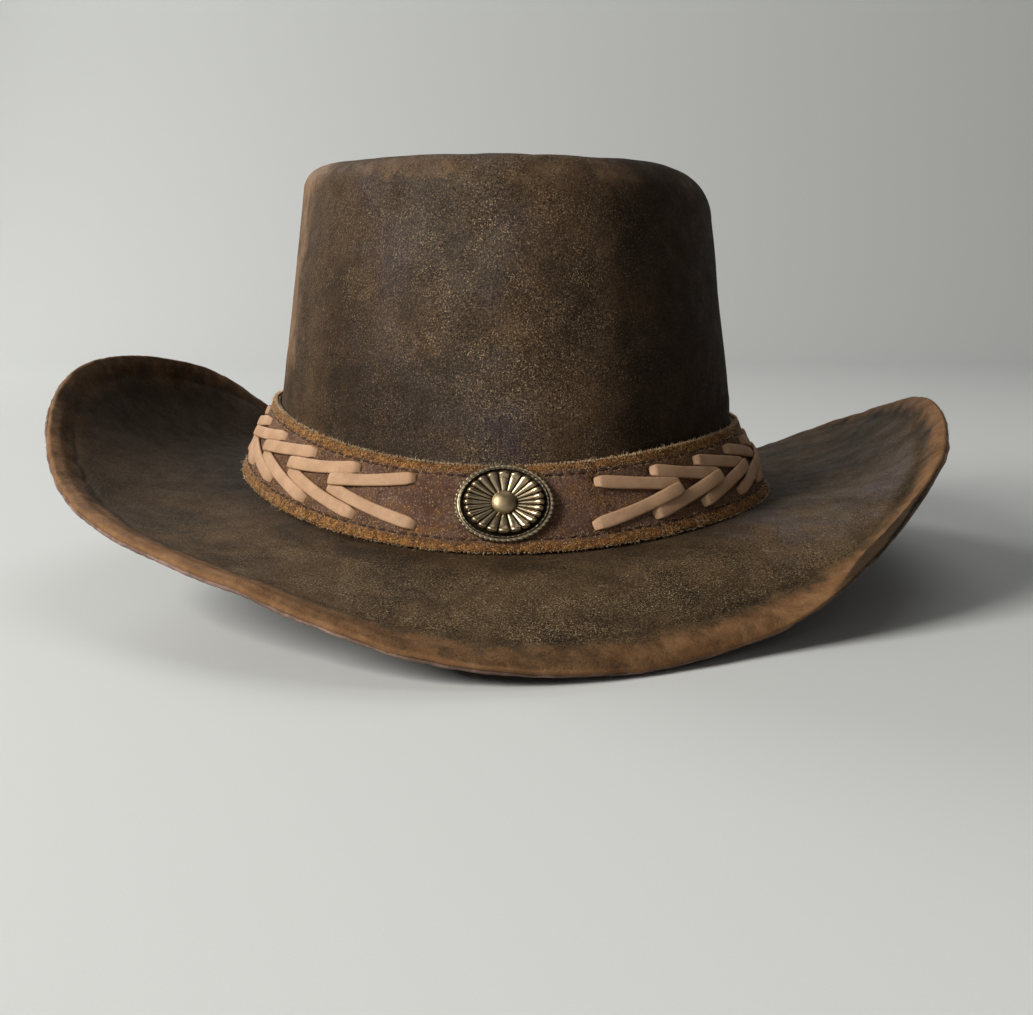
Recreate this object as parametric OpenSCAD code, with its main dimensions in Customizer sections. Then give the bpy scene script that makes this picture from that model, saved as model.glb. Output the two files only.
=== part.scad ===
// Leather cowboy hat with a laced hatband and an oval fluted concho.
// Units are millimetres. The origin is the centre of the head opening, +Z is up,
// and the front of the hat faces -Y. Angle u runs round the hat: 0 at the front,
// 90 at +X, 180 at the back.

/* [Crown] */
// half width of the crown's outside, just above the hatband
crown_half_w = 87; // [78:0.5:92]
// half length of the crown's outside, just above the hatband
crown_half_l = 108.5; // [98:0.5:114]
// height of the crown's shoulder above the head opening
crown_h = 117; // [95:1:130]
// how far the middle of the crown's top stands above its shoulder
crown_dome = 5.5; // [2:0.5:8]
// how far each side of the crown leans in by the shoulder
crown_taper = 10.7; // [4:0.1:14]
// height at which the walls start to lean in
taper_start = 30; // [26:1:40]
// shoulder rounding on the left side of the hat
shoulder_left = 9; // [6:0.5:20]
// shoulder rounding on the right side of the hat
shoulder_right = 20; // [6:0.5:24]
// thickness of the crown leather
crown_t = 2; // [1.4:0.1:2.2]
// how far the crown's foot flares out where it meets the brim
foot_flare = 12.9; // [8:0.1:15]

/* [Brim] */
// height of the crown's foot at the front
foot_front = -11; // [-16:0.5:-4]
// height of the crown's foot at the back
foot_back = -9; // [-16:0.5:-4]
// height of the crown's foot on the left
foot_left = 4; // [-6:0.5:8]
// height of the crown's foot on the right
foot_right = -5; // [-8:0.5:6]
// slope of the brim at the crown in degrees, twelve stations from the front round by +X
brim_root = [-15, -9, 2, 4, -1, -7, -9, -8, -4, 2, -2, -8];
// slope of the brim at its edge in degrees, same stations
brim_tip = [-22, -39, 21, 54, 32, -10, -9, 19, 81, 66, 16, 6];
// width of the brim along the leather, same stations
brim_w = [68, 58, 66, 80, 85, 84, 81, 77, 76, 83, 72, 65];
// how late the curl comes, larger is nearer the edge
curl_power = 1.3; // [1:0.1:2.5]
// thickness of the brim's upper leather
brim_upper_t = 1.6; // [1.2:0.1:2]
// thickness of the brim's lower leather
brim_lower_t = 1.4; // [1.2:0.1:2]
// radius of the shaping wire in the brim's edge
wire_r = 0.8; // [0.6:0.05:0.8]
// distance of the shaping wire from the brim's edge
wire_in = 4; // [3.6:0.1:6]

/* [Hatband] */
// height of the hatband
band_h = 27.2; // [22:0.2:30]
// gap between the crown and the hatband
band_gap = 0.4; // [0.4:0.05:0.8]
// thickness of the hatband's backing
backing_t = 1.2; // [1:0.1:1.4]
// thickness of the hatband's face leather
face_t = 1.6; // [1.4:0.1:2]
// width of the flat lacing
lace_w = 3.9; // [3:0.1:4]
// thickness of the flat lacing
lace_t = 1.1; // [0.8:0.1:1.2]
// number of lacing chevrons on each side
chevrons = 10; // [4:1:10]
// angle from the front centre to the first chevron
lace_start = 17.5; // [15:0.5:19]
// angle between chevrons
lace_pitch = 13.2; // [13:0.1:13.2]
// angle covered by one arm of a chevron
lace_reach = 20.3; // [18:0.1:20.5]

/* [Concho] */
// width of the concho
concho_w = 32; // [26:0.5:33]
// height of the concho
concho_h = 26; // [20:0.2:26.4]
// number of scallops round the concho's edge
scallops = 52; // [24:2:60]
// number of raised flutes in the rosette
flutes = 24; // [16:1:30]
// radius of the centre button
button_r = 3.9; // [3:0.1:4]
// radius of the post that goes through the hatband
post_r = 2; // [1.8:0.1:2.2]

/* [Sweatband and lining] */
// height of the sweatband
sweat_h = 38; // [30:1:42]
// thickness of the sweatband
sweat_t = 1.2; // [0.9:0.1:1.4]
// thickness of the lining
lining_t = 0.6; // [0.5:0.1:0.7]

/* [Hidden] */
// every node, in the order of building
// node to draw, or all
// angle between stations round the hat
step = 6;
// stations round the hat, set so that a flat falls at the front and at the back
stations = [for (i = [0 : 360 / step - 1]) step * i + step / 2];
// offsets measured outwards from the crown's outside
backing_in = band_gap;
backing_out = backing_in + backing_t;
face_in = backing_out + 0.05;
face_out = face_in + face_t;
// offset of the sweatband's outer face
sweat_out = -crown_t - 0.2 - lining_t - 0.15;
// offset of the brim's inner edge from the crown's foot
brim_inner = foot_flare - sweat_out - 0.15;
// half gap between the two brim leathers
ply_gap = 0.02;
// half height of the channel round the wire
channel = wire_r + 0.15;
// height of the concho's centre up the hatband, as a share of its height
concho_v = 0.553;
eps = 0.01;

// ---------- shape of the hat ----------

// value at angle u of a smooth closed curve through equally spaced values
function around(v, u) =
  let (n = len(v), t = ((u + 720) % 360) / 360 * n, i = floor(t), f = t - i)
  let (a = v[(i + n - 1) % n], b = v[i % n], c = v[(i + 1) % n], d = v[(i + 2) % n])
  0.5 * (2 * b + (c - a) * f + (2 * a - 5 * b + 4 * c - d) * f * f
    + (3 * b - a - 3 * c + d) * f * f * f);

// height of the crown's foot
function foot(u) =
  (sin(u) < 0 ? foot_left : foot_right) * pow(sin(u), 4)
  + (cos(u) > 0 ? foot_front : foot_back) * pow(cos(u), 2);

// outward flare of the foot, h above it
function flare(h) = foot_flare * pow(1 - min(max(h / band_h, 0), 1), 1.2);

// inward lean of the wall at height z
function lean(z) = crown_taper * max(0, z - taper_start) / (crown_h - taper_start);

// shoulder rounding round the crown
function shoulder(u) = (shoulder_left + shoulder_right) / 2
  + (shoulder_right - shoulder_left) / 2 * sin(u);

// point of an oval grown by e
function ring_pt(u, e, z) = [(crown_half_w + e) * sin(u), -(crown_half_l + e) * cos(u), z];

// point on the wall h above the foot, off outside the crown
function wall(u, h, off) = ring_pt(u, flare(h) - lean(foot(u) + h) + off, foot(u) + h);

// the same on the flats between stations
function flat_wall(u, h, off) =
  let (a = floor((u - step / 2) / step) * step + step / 2, f = (u - a) / step)
  (1 - f) * wall(a, h, off) + f * wall(a + step, h, off);

// ---------- solids from rows of points ----------

// closed ring: pts[i][j] at station i, j running round the section; turned for a section
// that runs the other way round
module ring_solid(pts, turned = false) {
  n = len(pts);
  m = len(pts[0]);
  polyhedron(
    points = [for (i = [0 : n - 1]) for (j = [0 : m - 1]) pts[i][j]],
    faces = [for (i = [0 : n - 1]) for (j = [0 : m - 1])
      let (a = i * m + j, b = ((i + 1) % n) * m + j)
      let (c = ((i + 1) % n) * m + (j + 1) % m, d = i * m + (j + 1) % m)
      each turned ? [[a, b, d], [b, c, d]] : [[a, d, b], [b, d, c]]]);
}

// strip with two ends; the section must go up one side and back down the other
module strip_solid(pts) {
  n = len(pts);
  m = len(pts[0]);
  polyhedron(
    points = [for (i = [0 : n - 1]) for (j = [0 : m - 1]) pts[i][j]],
    faces = concat(
      [for (i = [0 : n - 2]) for (j = [0 : m - 1])
        let (a = i * m + j, b = (i + 1) * m + j)
        let (c = (i + 1) * m + (j + 1) % m, d = i * m + (j + 1) % m)
        each [[a, d, b], [b, d, c]]],
      [for (j = [0 : m / 2 - 2])
        each [[j, m - 2 - j, j + 1], [j, m - 1 - j, m - 2 - j]]],
      [for (j = [0 : m / 2 - 2])
        let (k = (n - 1) * m)
        each [[k + j, k + j + 1, k + m - 2 - j], [k + j, k + m - 2 - j, k + m - 1 - j]]]));
}

// cap closed at the top by two centre points; section runs outside bottom to top,
// then inside top to bottom, with half the points on each side
module cap_solid(pts, top_out, top_in) {
  n = len(pts);
  m = len(pts[0]);
  h = m / 2;
  polyhedron(
    points = concat([for (i = [0 : n - 1]) for (j = [0 : m - 1]) pts[i][j]],
      [top_out, top_in]),
    faces = [for (i = [0 : n - 1])
      let (k = i * m, l = ((i + 1) % n) * m)
      each concat(
        [for (j = [0 : m - 1]) if (j != h - 1)
          let (e = (j + 1) % m)
          each [[k + j, k + e, l + j], [l + j, k + e, l + e]]],
        [[k + h - 1, n * m, l + h - 1], [k + h, l + h, n * m + 1]])]);
}

// section of a wall from height share a to b, off from lo to hi, rows points a side
function wall_loop(u, a, b, lo, hi, rows) = concat(
  [for (j = [0 : rows]) wall(u, a + (b - a) * j / rows, lo)],
  [for (j = [rows : -1 : 0]) wall(u, a + (b - a) * j / rows, hi)]);
function flat_loop(u, a, b, lo, hi, rows) = concat(
  [for (j = [0 : rows]) flat_wall(u, a + (b - a) * j / rows, lo)],
  [for (j = [rows : -1 : 0]) flat_wall(u, a + (b - a) * j / rows, hi)]);

// ---------- crown ----------

// height at which the crown's wall has begun to lean
function lean_low(u) = max(taper_start, foot(u) + band_h + 2);
// outside of the crown sunk by t, as offsets and heights
crown_low = [0, 4, 9, 14, 20, band_h];
function crown_side(u, t) = concat(
  [for (h = crown_low) wall(u, h + (h == 0 ? 0.03 : 0), -t)],
  [for (k = [0 : 3])
    let (z1 = lean_low(u), z = z1 + (crown_h - shoulder(u) - z1) * k / 3)
    ring_pt(u, -lean(z) - t, z)]);
function crown_round(u, t, d) =
  let (r = shoulder(u), e = -lean(crown_h - r) - t)
  [for (k = [1 : 4])
    ring_pt(u, e - (r - t) * (1 - cos(90 * k / 4)), crown_h - r + (r - t) * sin(90 * k / 4) - d)];
function crown_top(u, t, d) =
  let (r = shoulder(u), e = -lean(crown_h - r) - r)
  [for (s = [0.72, 0.4])
    [s * (crown_half_w + e) * sin(u), -s * (crown_half_l + e) * cos(u),
      crown_h - t - d + crown_dome * (0.5 + 0.5 * cos(180 * s))]];
function crown_line(u, t) = concat(crown_side(u, t), crown_round(u, t, 0), crown_top(u, t, 0));
function flip(v) = [for (i = [len(v) - 1 : -1 : 0]) v[i]];

module crown_shell() {
  color("#3b2a20")
    cap_solid([for (u = stations) concat(crown_line(u, 0), flip(crown_line(u, crown_t)))],
      [0, 0, crown_h + crown_dome], [0, 0, crown_h + crown_dome - crown_t]);
}

// ---------- lining and sweatband ----------

lining_in = crown_t + 0.2 + lining_t;
function lining_low(u) = foot(u) + 8;
function lining_line(u, t) = concat(
  [ring_pt(u, -t, lining_low(u)), ring_pt(u, -t, taper_start)],
  [for (k = [1 : 2])
    let (z = taper_start + (crown_h - shoulder(u) - taper_start) * k / 2)
    ring_pt(u, -lean(z) - t, z)],
  [for (k = [1 : 3])
    let (r = shoulder(u), e = -lean(crown_h - r) - t)
    ring_pt(u, e - (r - t) * (1 - cos(22.5 * k)), crown_h - r + (r - t) * sin(22.5 * k))]);

module lining_side() {
  color("#3a2c25")
    ring_solid([for (u = stations)
      concat(lining_line(u, lining_in), flip(lining_line(u, lining_in - lining_t)))]);
}

// flat oval of lining that closes the crown's inside
function tip_line(u, t) =
  let (r = shoulder(u), e = -lean(crown_h - r) - lining_in - 0.4)
  let (q = e - (r - lining_in) * (1 - cos(67.5)))
  let (z = crown_h - r + (r - lining_in) * sin(67.5))
  [ring_pt(u, q, z - t - 0.2),
    [0.5 * (crown_half_w + q) * sin(u), -0.5 * (crown_half_l + q) * cos(u), z - t + 0.6]];
module lining_tip() {
  color("#332620")
    cap_solid([for (u = stations) concat(tip_line(u, 0), flip(tip_line(u, lining_t)))],
      [0, 0, crown_h - 1.6], [0, 0, crown_h - 1.6 - lining_t]);
}

sweat_in = sweat_out - sweat_t;
function sweat_low(u) = foot(u) - brim_lower_t - ply_gap - brim_upper_t - 0.4;
function sweat_line(u, off) =
  [for (k = [0 : 3])
    let (z = sweat_low(u) + sweat_h * k / 3)
    ring_pt(u, -lean(z) + off, z)];
// stations of a strip whose two ends meet at the back
gap_u = 0.12;
strip_u = concat([180 + gap_u], [for (i = [0 : 360 / step - 1]) 180 + step / 2 + step * i],
  [540 - gap_u]);
function on_flat(u, f0, f1) =
  let (a = floor((u - step / 2) / step) * step + step / 2, f = (u - a) / step)
  [for (j = [0 : len(f0) - 1]) (1 - f) * f0[j] + f * f1[j]];
function sweat_loop(u) = concat(sweat_line(u, sweat_in), flip(sweat_line(u, sweat_out)));
module sweatband() {
  color("#6b4630")
    strip_solid([for (u = strip_u)
      let (a = floor((u - step / 2) / step) * step + step / 2)
      on_flat(u, sweat_loop(a), sweat_loop(a + step))]);
}

// ---------- brim ----------

function brim_width(u) = around(brim_w, u);
// slope of the brim a distance s from the crown's foot
function slope(u, s) = s <= 0 ? 0
  : around(brim_root, u) + (around(brim_tip, u) - around(brim_root, u))
    * pow(min(s / brim_width(u), 1), curl_power);
// reach and height after a distance s, summed in n short steps
function run(u, s, n = 14) = s <= 0 ? [s, 0]
  : [for (k = 0, p = [0, 0]; k <= n;
      p = p + s / n * [cos(slope(u, s * (k + 0.5) / n)), sin(slope(u, s * (k + 0.5) / n))],
      k = k + 1) p][n];
// outward direction of the crown's foot
function outward(u) =
  let (v = [(crown_half_l + foot_flare) * sin(u), -(crown_half_w + foot_flare) * cos(u)])
  v / norm(v);
// point of the brim a distance s out, t above its middle surface
function brim_pt(u, s, t) =
  let (p = run(u, s), a = slope(u, s), o = outward(u))
  let (x = p[0] - t * sin(a), c = ring_pt(u, foot_flare, 0))
  [c[0] + x * o[0], c[1] + x * o[1], foot(u) - brim_upper_t - ply_gap + p[1] + t * cos(a)];
// distances of the section's points, and half height of the channel at each
function brim_s(u) =
  let (w = brim_width(u), e = w - wire_in)
  concat([-brim_inner, 0], [for (k = [1 : 5]) (w - 9) * k / 5],
    [e - 1.9, e - 0.7, e + 0.7, e + 1.9, w]);
brim_c = [0, 0, 0, 0, 0, 0, 0, 0, 1, 1, 0, 0];
function brim_side(u, t, c) =
  let (s = brim_s(u))
  [for (j = [0 : len(s) - 1]) brim_pt(u, s[j], t + c * brim_c[j])];

module brim_upper() {
  color("#3b2a20")
    ring_solid([for (u = stations)
      concat(brim_side(u, ply_gap, channel - ply_gap),
        flip(brim_side(u, brim_upper_t + ply_gap, 0.8)))]);
}
module brim_lower() {
  color("#3b2a20")
    ring_solid([for (u = stations)
      concat(brim_side(u, -ply_gap, ply_gap - channel),
        flip(brim_side(u, -brim_lower_t - ply_gap, -0.8)))], turned = true);
}

// wire from just past the back round the whole edge to just before the back
wire_gap = 2.2;
wire_u = concat([180 + wire_gap], [for (i = [0 : 360 / step - 1]) 180 + step / 2 + step * i],
  [540 - wire_gap]);
function wire_loop(u) =
  let (s = brim_width(u) - wire_in)
  [for (k = [0 : 7])
    brim_pt(u, s + 0.97 * wire_r * cos(45 * k + 22.5), 0.97 * wire_r * sin(45 * k + 22.5))];
module brim_wire() {
  color("#9a9a98")
    strip_solid([for (u = wire_u)
      let (a = floor((u - step / 2) / step) * step + step / 2)
      on_flat(u, wire_loop(a), wire_loop(a + step))]);
}

// short rod that joins the wire's two ends, in line with the flat at the back
module wire_sleeve() {
  s = brim_width(180) - wire_in;
  a = 180 - step / 2;
  p = (brim_pt(a, brim_width(a) - wire_in, 0) + brim_pt(a + step, brim_width(a + step) - wire_in, 0)) / 2;
  d = brim_pt(a + step, brim_width(a + step) - wire_in, 0) - brim_pt(a, brim_width(a) - wire_in, 0);
  color("#b08d57")
    translate(p)
      rotate([0, -atan2(d[2], d[0]), atan2(d[1], d[0])])
        rotate([0, 90, 0])
          cylinder(h = 3.4, r = wire_r * 0.95, center = true, $fn = 24);
}

// ---------- stitches ----------

// unit vector
function unit(v) = v / norm(v);
// one stitch at p, along d, standing out along n
module stitch(p, d, n, l, w, t) {
  x = unit(d);
  z = unit(n - (n * x) * x);
  y = cross(z, x);
  multmatrix([[x[0], y[0], z[0], p[0]], [x[1], y[1], z[1], p[1]], [x[2], y[2], z[2], p[2]]])
    translate([-l / 2, -w / 2, 0])
      cube([l, w, t]);
}
// row of stitches on the hatband's face, v up it
module band_row(v) {
  per = 3;
  for (i = [0 : 360 / step - 1]) {
    for (k = [0 : per - 1]) {
      u = step / 2 + step * i + step * (k + 0.5) / per;
      p = flat_wall(u, v * band_h, face_out);
      d = flat_wall(u + 0.3, v * band_h, face_out) - flat_wall(u - 0.3, v * band_h, face_out);
      q = flat_wall(u, v * band_h + 1, face_out) - p;
      n = unit(cross(d, q));
      if (abs(u - 180) > 6 && abs(u - 540) > 6)
        stitch(p + 0.17 * n, d, n, 2.6, 0.8, 0.5);
    }
  }
}
module band_thread_upper() {
  color("#2c211b")
    band_row(0.87);
}
module band_thread_lower() {
  color("#2c211b")
    band_row(0.165);
}
// row low on the sweatband's inner face
module sweatband_thread() {
  color("#c9a86a")
    for (i = [0 : 360 / step - 1]) {
      for (k = [0 : 1]) {
        u = step / 2 + step * i + step * (k + 0.5) / 2;
        a = step / 2 + step * i;
        f = (k + 0.5) / 2;
        p = (1 - f) * ring_pt(a, sweat_in, foot(a) + 3) + f * ring_pt(a + step, sweat_in, foot(a + step) + 3);
        d = ring_pt(a + step, sweat_in, foot(a + step) + 3) - ring_pt(a, sweat_in, foot(a) + 3);
        n = unit([-d[1], d[0], 0]);
        if (abs(u - 180) > 4)
          stitch(p + 0.1 * n, d, n, 3.2, 0.7, 0.45);
      }
    }
}
// row under the brim that holds the crown's foot
module crown_seam_thread() {
  color("#2c211b")
    for (i = [0 : 360 / step - 1]) {
      for (k = [0 : 1]) {
        a = step / 2 + step * i;
        f = (k + 0.5) / 2;
        t = -brim_lower_t - ply_gap;
        p = (1 - f) * brim_pt(a, -3, t) + f * brim_pt(a + step, -3, t);
        d = brim_pt(a + step, -3, t) - brim_pt(a, -3, t);
        stitch(p - [0, 0, 0.12], d, [0, 0, -1], 3.4, 0.8, 0.5);
      }
    }
}

// ---------- hatband ----------

// frame of the front centre of the hatband: point, up the face, out of the face
face_c = flat_wall(0, concho_v * band_h, face_out);
face_up = unit(flat_wall(0, concho_v * band_h + 1, face_out) - flat_wall(0, concho_v * band_h - 1, face_out));
face_n = [0, -face_up[2], face_up[1]];
// places children with +Z out of the face and +Y up it
module on_face() {
  multmatrix([[1, 0, 0, face_c[0]], [0, face_up[1], face_n[1], face_c[1]],
    [0, face_up[2], face_n[2], face_c[2]]])
    children();
}
// the same for the back centre, where the band's ends meet
back_c = flat_wall(180, 0.5 * band_h, face_out);
back_up = unit(flat_wall(180, 0.5 * band_h + 1, face_out) - flat_wall(180, 0.5 * band_h - 1, face_out));
back_n = [0, back_up[2], -back_up[1]];
module on_back() {
  multmatrix([[-1, 0, 0, back_c[0]], [0, back_up[1], back_n[1], back_c[1]],
    [0, back_up[2], back_n[2], back_c[2]]])
    children();
}
rivet_x = 4.2;
rivet_shank = 1.2;

band_foot = 0.5;
module band_face() {
  color("#5a3b2c")
    difference() {
      strip_solid([for (u = strip_u) flat_loop(u, band_foot, band_h - 0.2, face_in, face_out, 4)]);
      on_face()
        translate([0, 0, -4])
          cylinder(h = 8, r = post_r + 0.05, $fn = 32);
      for (s = [-1, 1])
        on_back()
          translate([s * rivet_x, 0, -4])
            cylinder(h = 8, r = rivet_shank + 0.03, $fn = 24);
    }
}
module band_backing() {
  color("#7a573c")
    difference() {
      strip_solid([for (u = strip_u) flat_loop(u, band_foot + 0.5, band_h - 1, backing_in, backing_out, 4)]);
      on_face()
        translate([0, 0, -5])
          cylinder(h = 10, r = 5.2, $fn = 32);
      for (s = [-1, 1])
        on_back()
          translate([s * rivet_x, 0, -5])
            cylinder(h = 10, r = 2.9, $fn = 24);
    }
}

// lacing: one arm from (u0, v0) to (u1, v1), lift raises its far end
function arm_pt(u, v, off, side) = wall(side * u, v * band_h, face_out + off);
module lace_arm(u0, v0, u1, v1, lift, side) {
  m = 6;
  dv = (v1 - v0) * band_h * 1.09;
  du = (u1 - u0) * 1.85;
  g = norm([dv, du]);
  strip_solid([for (k = [0 : m])
    let (f = k / m, u = u0 + (u1 - u0) * f, v = v0 + (v1 - v0) * f)
    let (w = lace_w / 2 * (k == 0 || k == m ? 0.62 : 1))
    let (cu = w * dv / g / 1.85, cv = w * du / g / band_h / 1.09)
    let (o = 0.3 + lift * max(0, (f - 0.5) * 2), t = lace_t * (k == 0 || k == m ? 0.55 : 1))
    let (a = side < 0 ? -1 : 1)
    [for (q = [[-1, 0], [1, 0], [1, 0.7], [0.75, 1], [-0.75, 1], [-1, 0.7]])
      arm_pt(u + q[0] * a * cu, v - q[0] * a * cv, o + t * q[1], side)]]);
}
module lace_row(v0, v1, lift, side) {
  for (i = [0 : chevrons - 1]) {
    lace_arm(lace_start + lace_pitch * i, v0, lace_start + lace_pitch * i + lace_reach, v1, lift, side);
  }
}
over = lace_t + 0.3;
// the upper lace passes over the lower one on the left
module lace_left_upper() {
  color("#b98c64")
    lace_row(0.77, 0.54, over, -1);
}
module lace_left_lower() {
  color("#b98c64")
    lace_row(0.26, 0.48, 0, -1);
}
// and under it on the right
module lace_right_upper() {
  color("#b98c64")
    lace_row(0.76, 0.54, 0, 1);
}
module lace_right_lower() {
  color("#b98c64")
    lace_row(0.27, 0.51, over, 1);
}

// short leather lap over the joint at the back, with its two rivets
module band_lap() {
  color("#4a3024")
    difference() {
      strip_solid([for (u = [175.4, 177, 180, 183, 184.6])
        flat_loop(u, 0.14 * band_h, 0.86 * band_h, face_out + 0.12, face_out + 1.6, 4)]);
      for (s = [-1, 1])
        on_back()
          translate([s * rivet_x, 0, -4])
            cylinder(h = 8, r = rivet_shank + 0.03, $fn = 24);
    }
}
module rivet() {
  rotate_extrude($fn = 24)
    polygon([[0, -2.35], [2.4, -2.35], [2.4, -1.75], [rivet_shank, -1.7], [rivet_shank, 1.6],
      [2.7, 1.65], [2.6, 2.1], [2.1, 2.55], [1.2, 2.85], [0, 2.95]]);
}
module lap_rivet_left() {
  color("#a98a4f")
    on_back()
      translate([rivet_x, 0, 0])
        rivet();
}
module lap_rivet_right() {
  color("#a98a4f")
    on_back()
      translate([-rivet_x, 0, 0])
        rivet();
}

// ---------- concho ----------

// heights out of the hatband's face
plate_z = 1.1;
plate_t = 0.9;
rose_z = plate_z + plate_t + 0.02;
rose_hub = 0.55;
button_z = rose_z + rose_hub + 0.03;
function edge_pt(a, k, d) = [k * (concho_w / 2 * cos(a)) + d * cos(a), k * (concho_h / 2 * sin(a)) + d * sin(a)];

module concho_plate() {
  n = scallops * 4;
  color("#8a7448")
    on_face()
      translate([0, 0, plate_z])
        union() {
          linear_extrude(plate_t)
            polygon([for (k = [0 : n - 1])
              let (a = 360 * k / n) edge_pt(a, 1, -0.45 + 0.45 * abs(sin(180 * k / 4)))]);
          translate([0, 0, plate_t / 2])
            linear_extrude(plate_t / 2 + 0.45)
              difference() {
                polygon([for (k = [0 : 71]) edge_pt(5 * k, 0.92, 0)]);
                polygon([for (k = [0 : 71]) edge_pt(5 * k, 0.86, 0)]);
              }
        }
}

// rosette: flutes that rise towards their outer ends
rose_share = [0.3, 0.42, 0.56, 0.68, 0.76, 0.8];
rose_rise = [0, 0.25, 0.62, 0.95, 1, 0];
module concho_rosette() {
  n = flutes * 4;
  m = len(rose_share);
  ring = [for (k = [0 : n - 1])
    let (a = 360 * k / n, g = [1, 0.72, 0.1, 0.72][k % 4])
    concat([for (j = [0 : m - 1])
      let (e = edge_pt(a, rose_share[j], 0))
      [e[0], e[1], rose_z + rose_hub * (j == m - 1 ? 0.45 : 1)
        + rose_rise[j] * (0.85 * g) + (j == 0 ? 0 : -0.12 * (1 - g))]],
      [[edge_pt(a, rose_share[m - 1], 0)[0], edge_pt(a, rose_share[m - 1], 0)[1], rose_z]])];
  c = m + 1;
  color("#a08652")
    on_face()
      polyhedron(
        points = concat([for (r = ring) each r], [[0, 0, rose_z + rose_hub], [0, 0, rose_z]]),
        faces = [for (k = [0 : n - 1])
          let (a = k * c, b = ((k + 1) % n) * c)
          each concat(
            [for (j = [0 : c - 2]) each [[a + j, b + j, a + j + 1], [a + j + 1, b + j, b + j + 1]]],
            [[a, n * c, b], [a + c - 1, b + c - 1, n * c + 1]])]);
}

module concho_button() {
  color("#b89a5e")
    on_face()
      translate([0, 0, button_z])
        rotate_extrude($fn = 40)
          polygon(concat([[0, 0], [button_r, 0]],
            [for (k = [0 : 8]) [button_r * cos(90 * k / 8), 0.35 + 1.9 * sin(90 * k / 8)]]));
}

// sleeve through the hatband, with a blind bore for the screw
module concho_post() {
  color("#8c8c88")
    on_face()
      difference() {
        translate([0, 0, -1.55])
          cylinder(h = 1.55 + plate_z - 0.03, r = post_r, $fn = 40);
        translate([0, 0, -2])
          cylinder(h = 2.4, r = 1.25, $fn = 32);
      }
}
// screw whose flat head lies behind the face
module concho_screw() {
  color("#8c8c88")
    on_face()
      union() {
        translate([0, 0, -1.62 - 0.6])
          cylinder(h = 0.6, r = 4.4, $fn = 40);
        translate([0, 0, -1.7])
          cylinder(h = 1.95, r = 1.2, $fn = 32);
      }
}

// ---------- drawing ----------
crown_shell();
brim_upper();
brim_lower();
brim_wire();
wire_sleeve();
lining_side();
lining_tip();
sweatband();
sweatband_thread();
crown_seam_thread();
band_backing();
band_face();
band_thread_upper();
band_thread_lower();
lace_left_upper();
lace_left_lower();
lace_right_upper();
lace_right_lower();
band_lap();
lap_rivet_left();
lap_rivet_right();
concho_plate();
concho_rosette();
concho_button();
concho_post();
concho_screw();
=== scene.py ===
import bpy
import numpy as np
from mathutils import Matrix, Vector


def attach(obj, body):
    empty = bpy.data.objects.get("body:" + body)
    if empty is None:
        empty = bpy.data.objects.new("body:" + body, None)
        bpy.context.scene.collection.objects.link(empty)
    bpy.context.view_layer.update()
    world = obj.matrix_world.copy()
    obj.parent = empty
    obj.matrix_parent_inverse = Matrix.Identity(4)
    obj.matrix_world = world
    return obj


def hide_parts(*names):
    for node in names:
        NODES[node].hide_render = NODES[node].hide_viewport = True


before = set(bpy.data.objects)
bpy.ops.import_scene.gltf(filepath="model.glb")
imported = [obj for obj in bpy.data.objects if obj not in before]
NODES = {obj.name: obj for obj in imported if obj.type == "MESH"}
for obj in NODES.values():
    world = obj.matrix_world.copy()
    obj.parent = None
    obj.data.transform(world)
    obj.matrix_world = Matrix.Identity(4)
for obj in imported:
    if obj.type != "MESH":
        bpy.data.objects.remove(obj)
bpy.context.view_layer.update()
scene = bpy.context.scene
scene.view_settings.view_transform = "Standard"
rad = np.radians
cat = np.concatenate

# ---------------------------------------------------------------- the hat's shape, in mm
HW, HL = 87.0, 108.5          # half width and half length of the crown above the band
CROWN_H, DOME, TAPER, LEAN0 = 117.0, 5.5, 10.7, 30.0
SH_L, SH_R = 9.0, 20.0        # shoulder rounding, left and right
FLARE, BAND_H = 12.9, 27.2
ROOT = [-15, -9, 2, 4, -1, -7, -9, -8, -4, 2, -2, -8]
TIP = [-22, -39, 21, 54, 32, -10, -9, 19, 81, 66, 16, 6]
WIDE = [68, 58, 66, 80, 85, 84, 81, 77, 76, 83, 72, 65]
CURL = 1.3
UP_T, LOW_T, WIRE_IN = 1.6, 1.4, 4.0
BACK_IN, BACK_OUT, FACE_IN, FACE_OUT = 0.4, 1.6, 1.65, 3.25
SWEAT_OUT, SWEAT_T = -2.95, 1.2
LIN_OUT, LIN_IN = -2.2, -2.8


def turned(u):
    """u as an angle from the front, -180 to 180."""
    return (np.asarray(u, float) + 180) % 360 - 180


def around(v, u):
    v = np.asarray(v, float)
    n = len(v)
    t = (np.asarray(u, float) % 360) / 360 * n
    i = np.floor(t).astype(int)
    f = t - i
    a, b, c, d = v[(i - 1) % n], v[i % n], v[(i + 1) % n], v[(i + 2) % n]
    return 0.5 * (2 * b + (c - a) * f + (2 * a - 5 * b + 4 * c - d) * f**2 + (3 * b - a - 3 * c + d) * f**3)


def smooth01(x):
    x = np.clip(x, 0, 1)
    return x * x * (3 - 2 * x)


def bell(x, c, w, p=2):
    """1 at x = c, falling off over w on both sides."""
    return np.exp(-((x - c) / w) ** p)


def oval(u, a, b):
    return np.stack([a * np.sin(rad(u)), -b * np.cos(rad(u)), 0 * u], -1)


def foot(u):
    s, c = np.sin(rad(u)), np.cos(rad(u))
    return np.where(s < 0, 4, -5) * s**4 + np.where(c > 0, -11, -9) * c**2


def flare(h):
    return FLARE * (1 - np.clip(np.asarray(h, float) / BAND_H, 0, 1)) ** 1.2


def lean(z):
    return TAPER * np.maximum(0, np.asarray(z, float) - LEAN0) / (CROWN_H - LEAN0)


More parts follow.
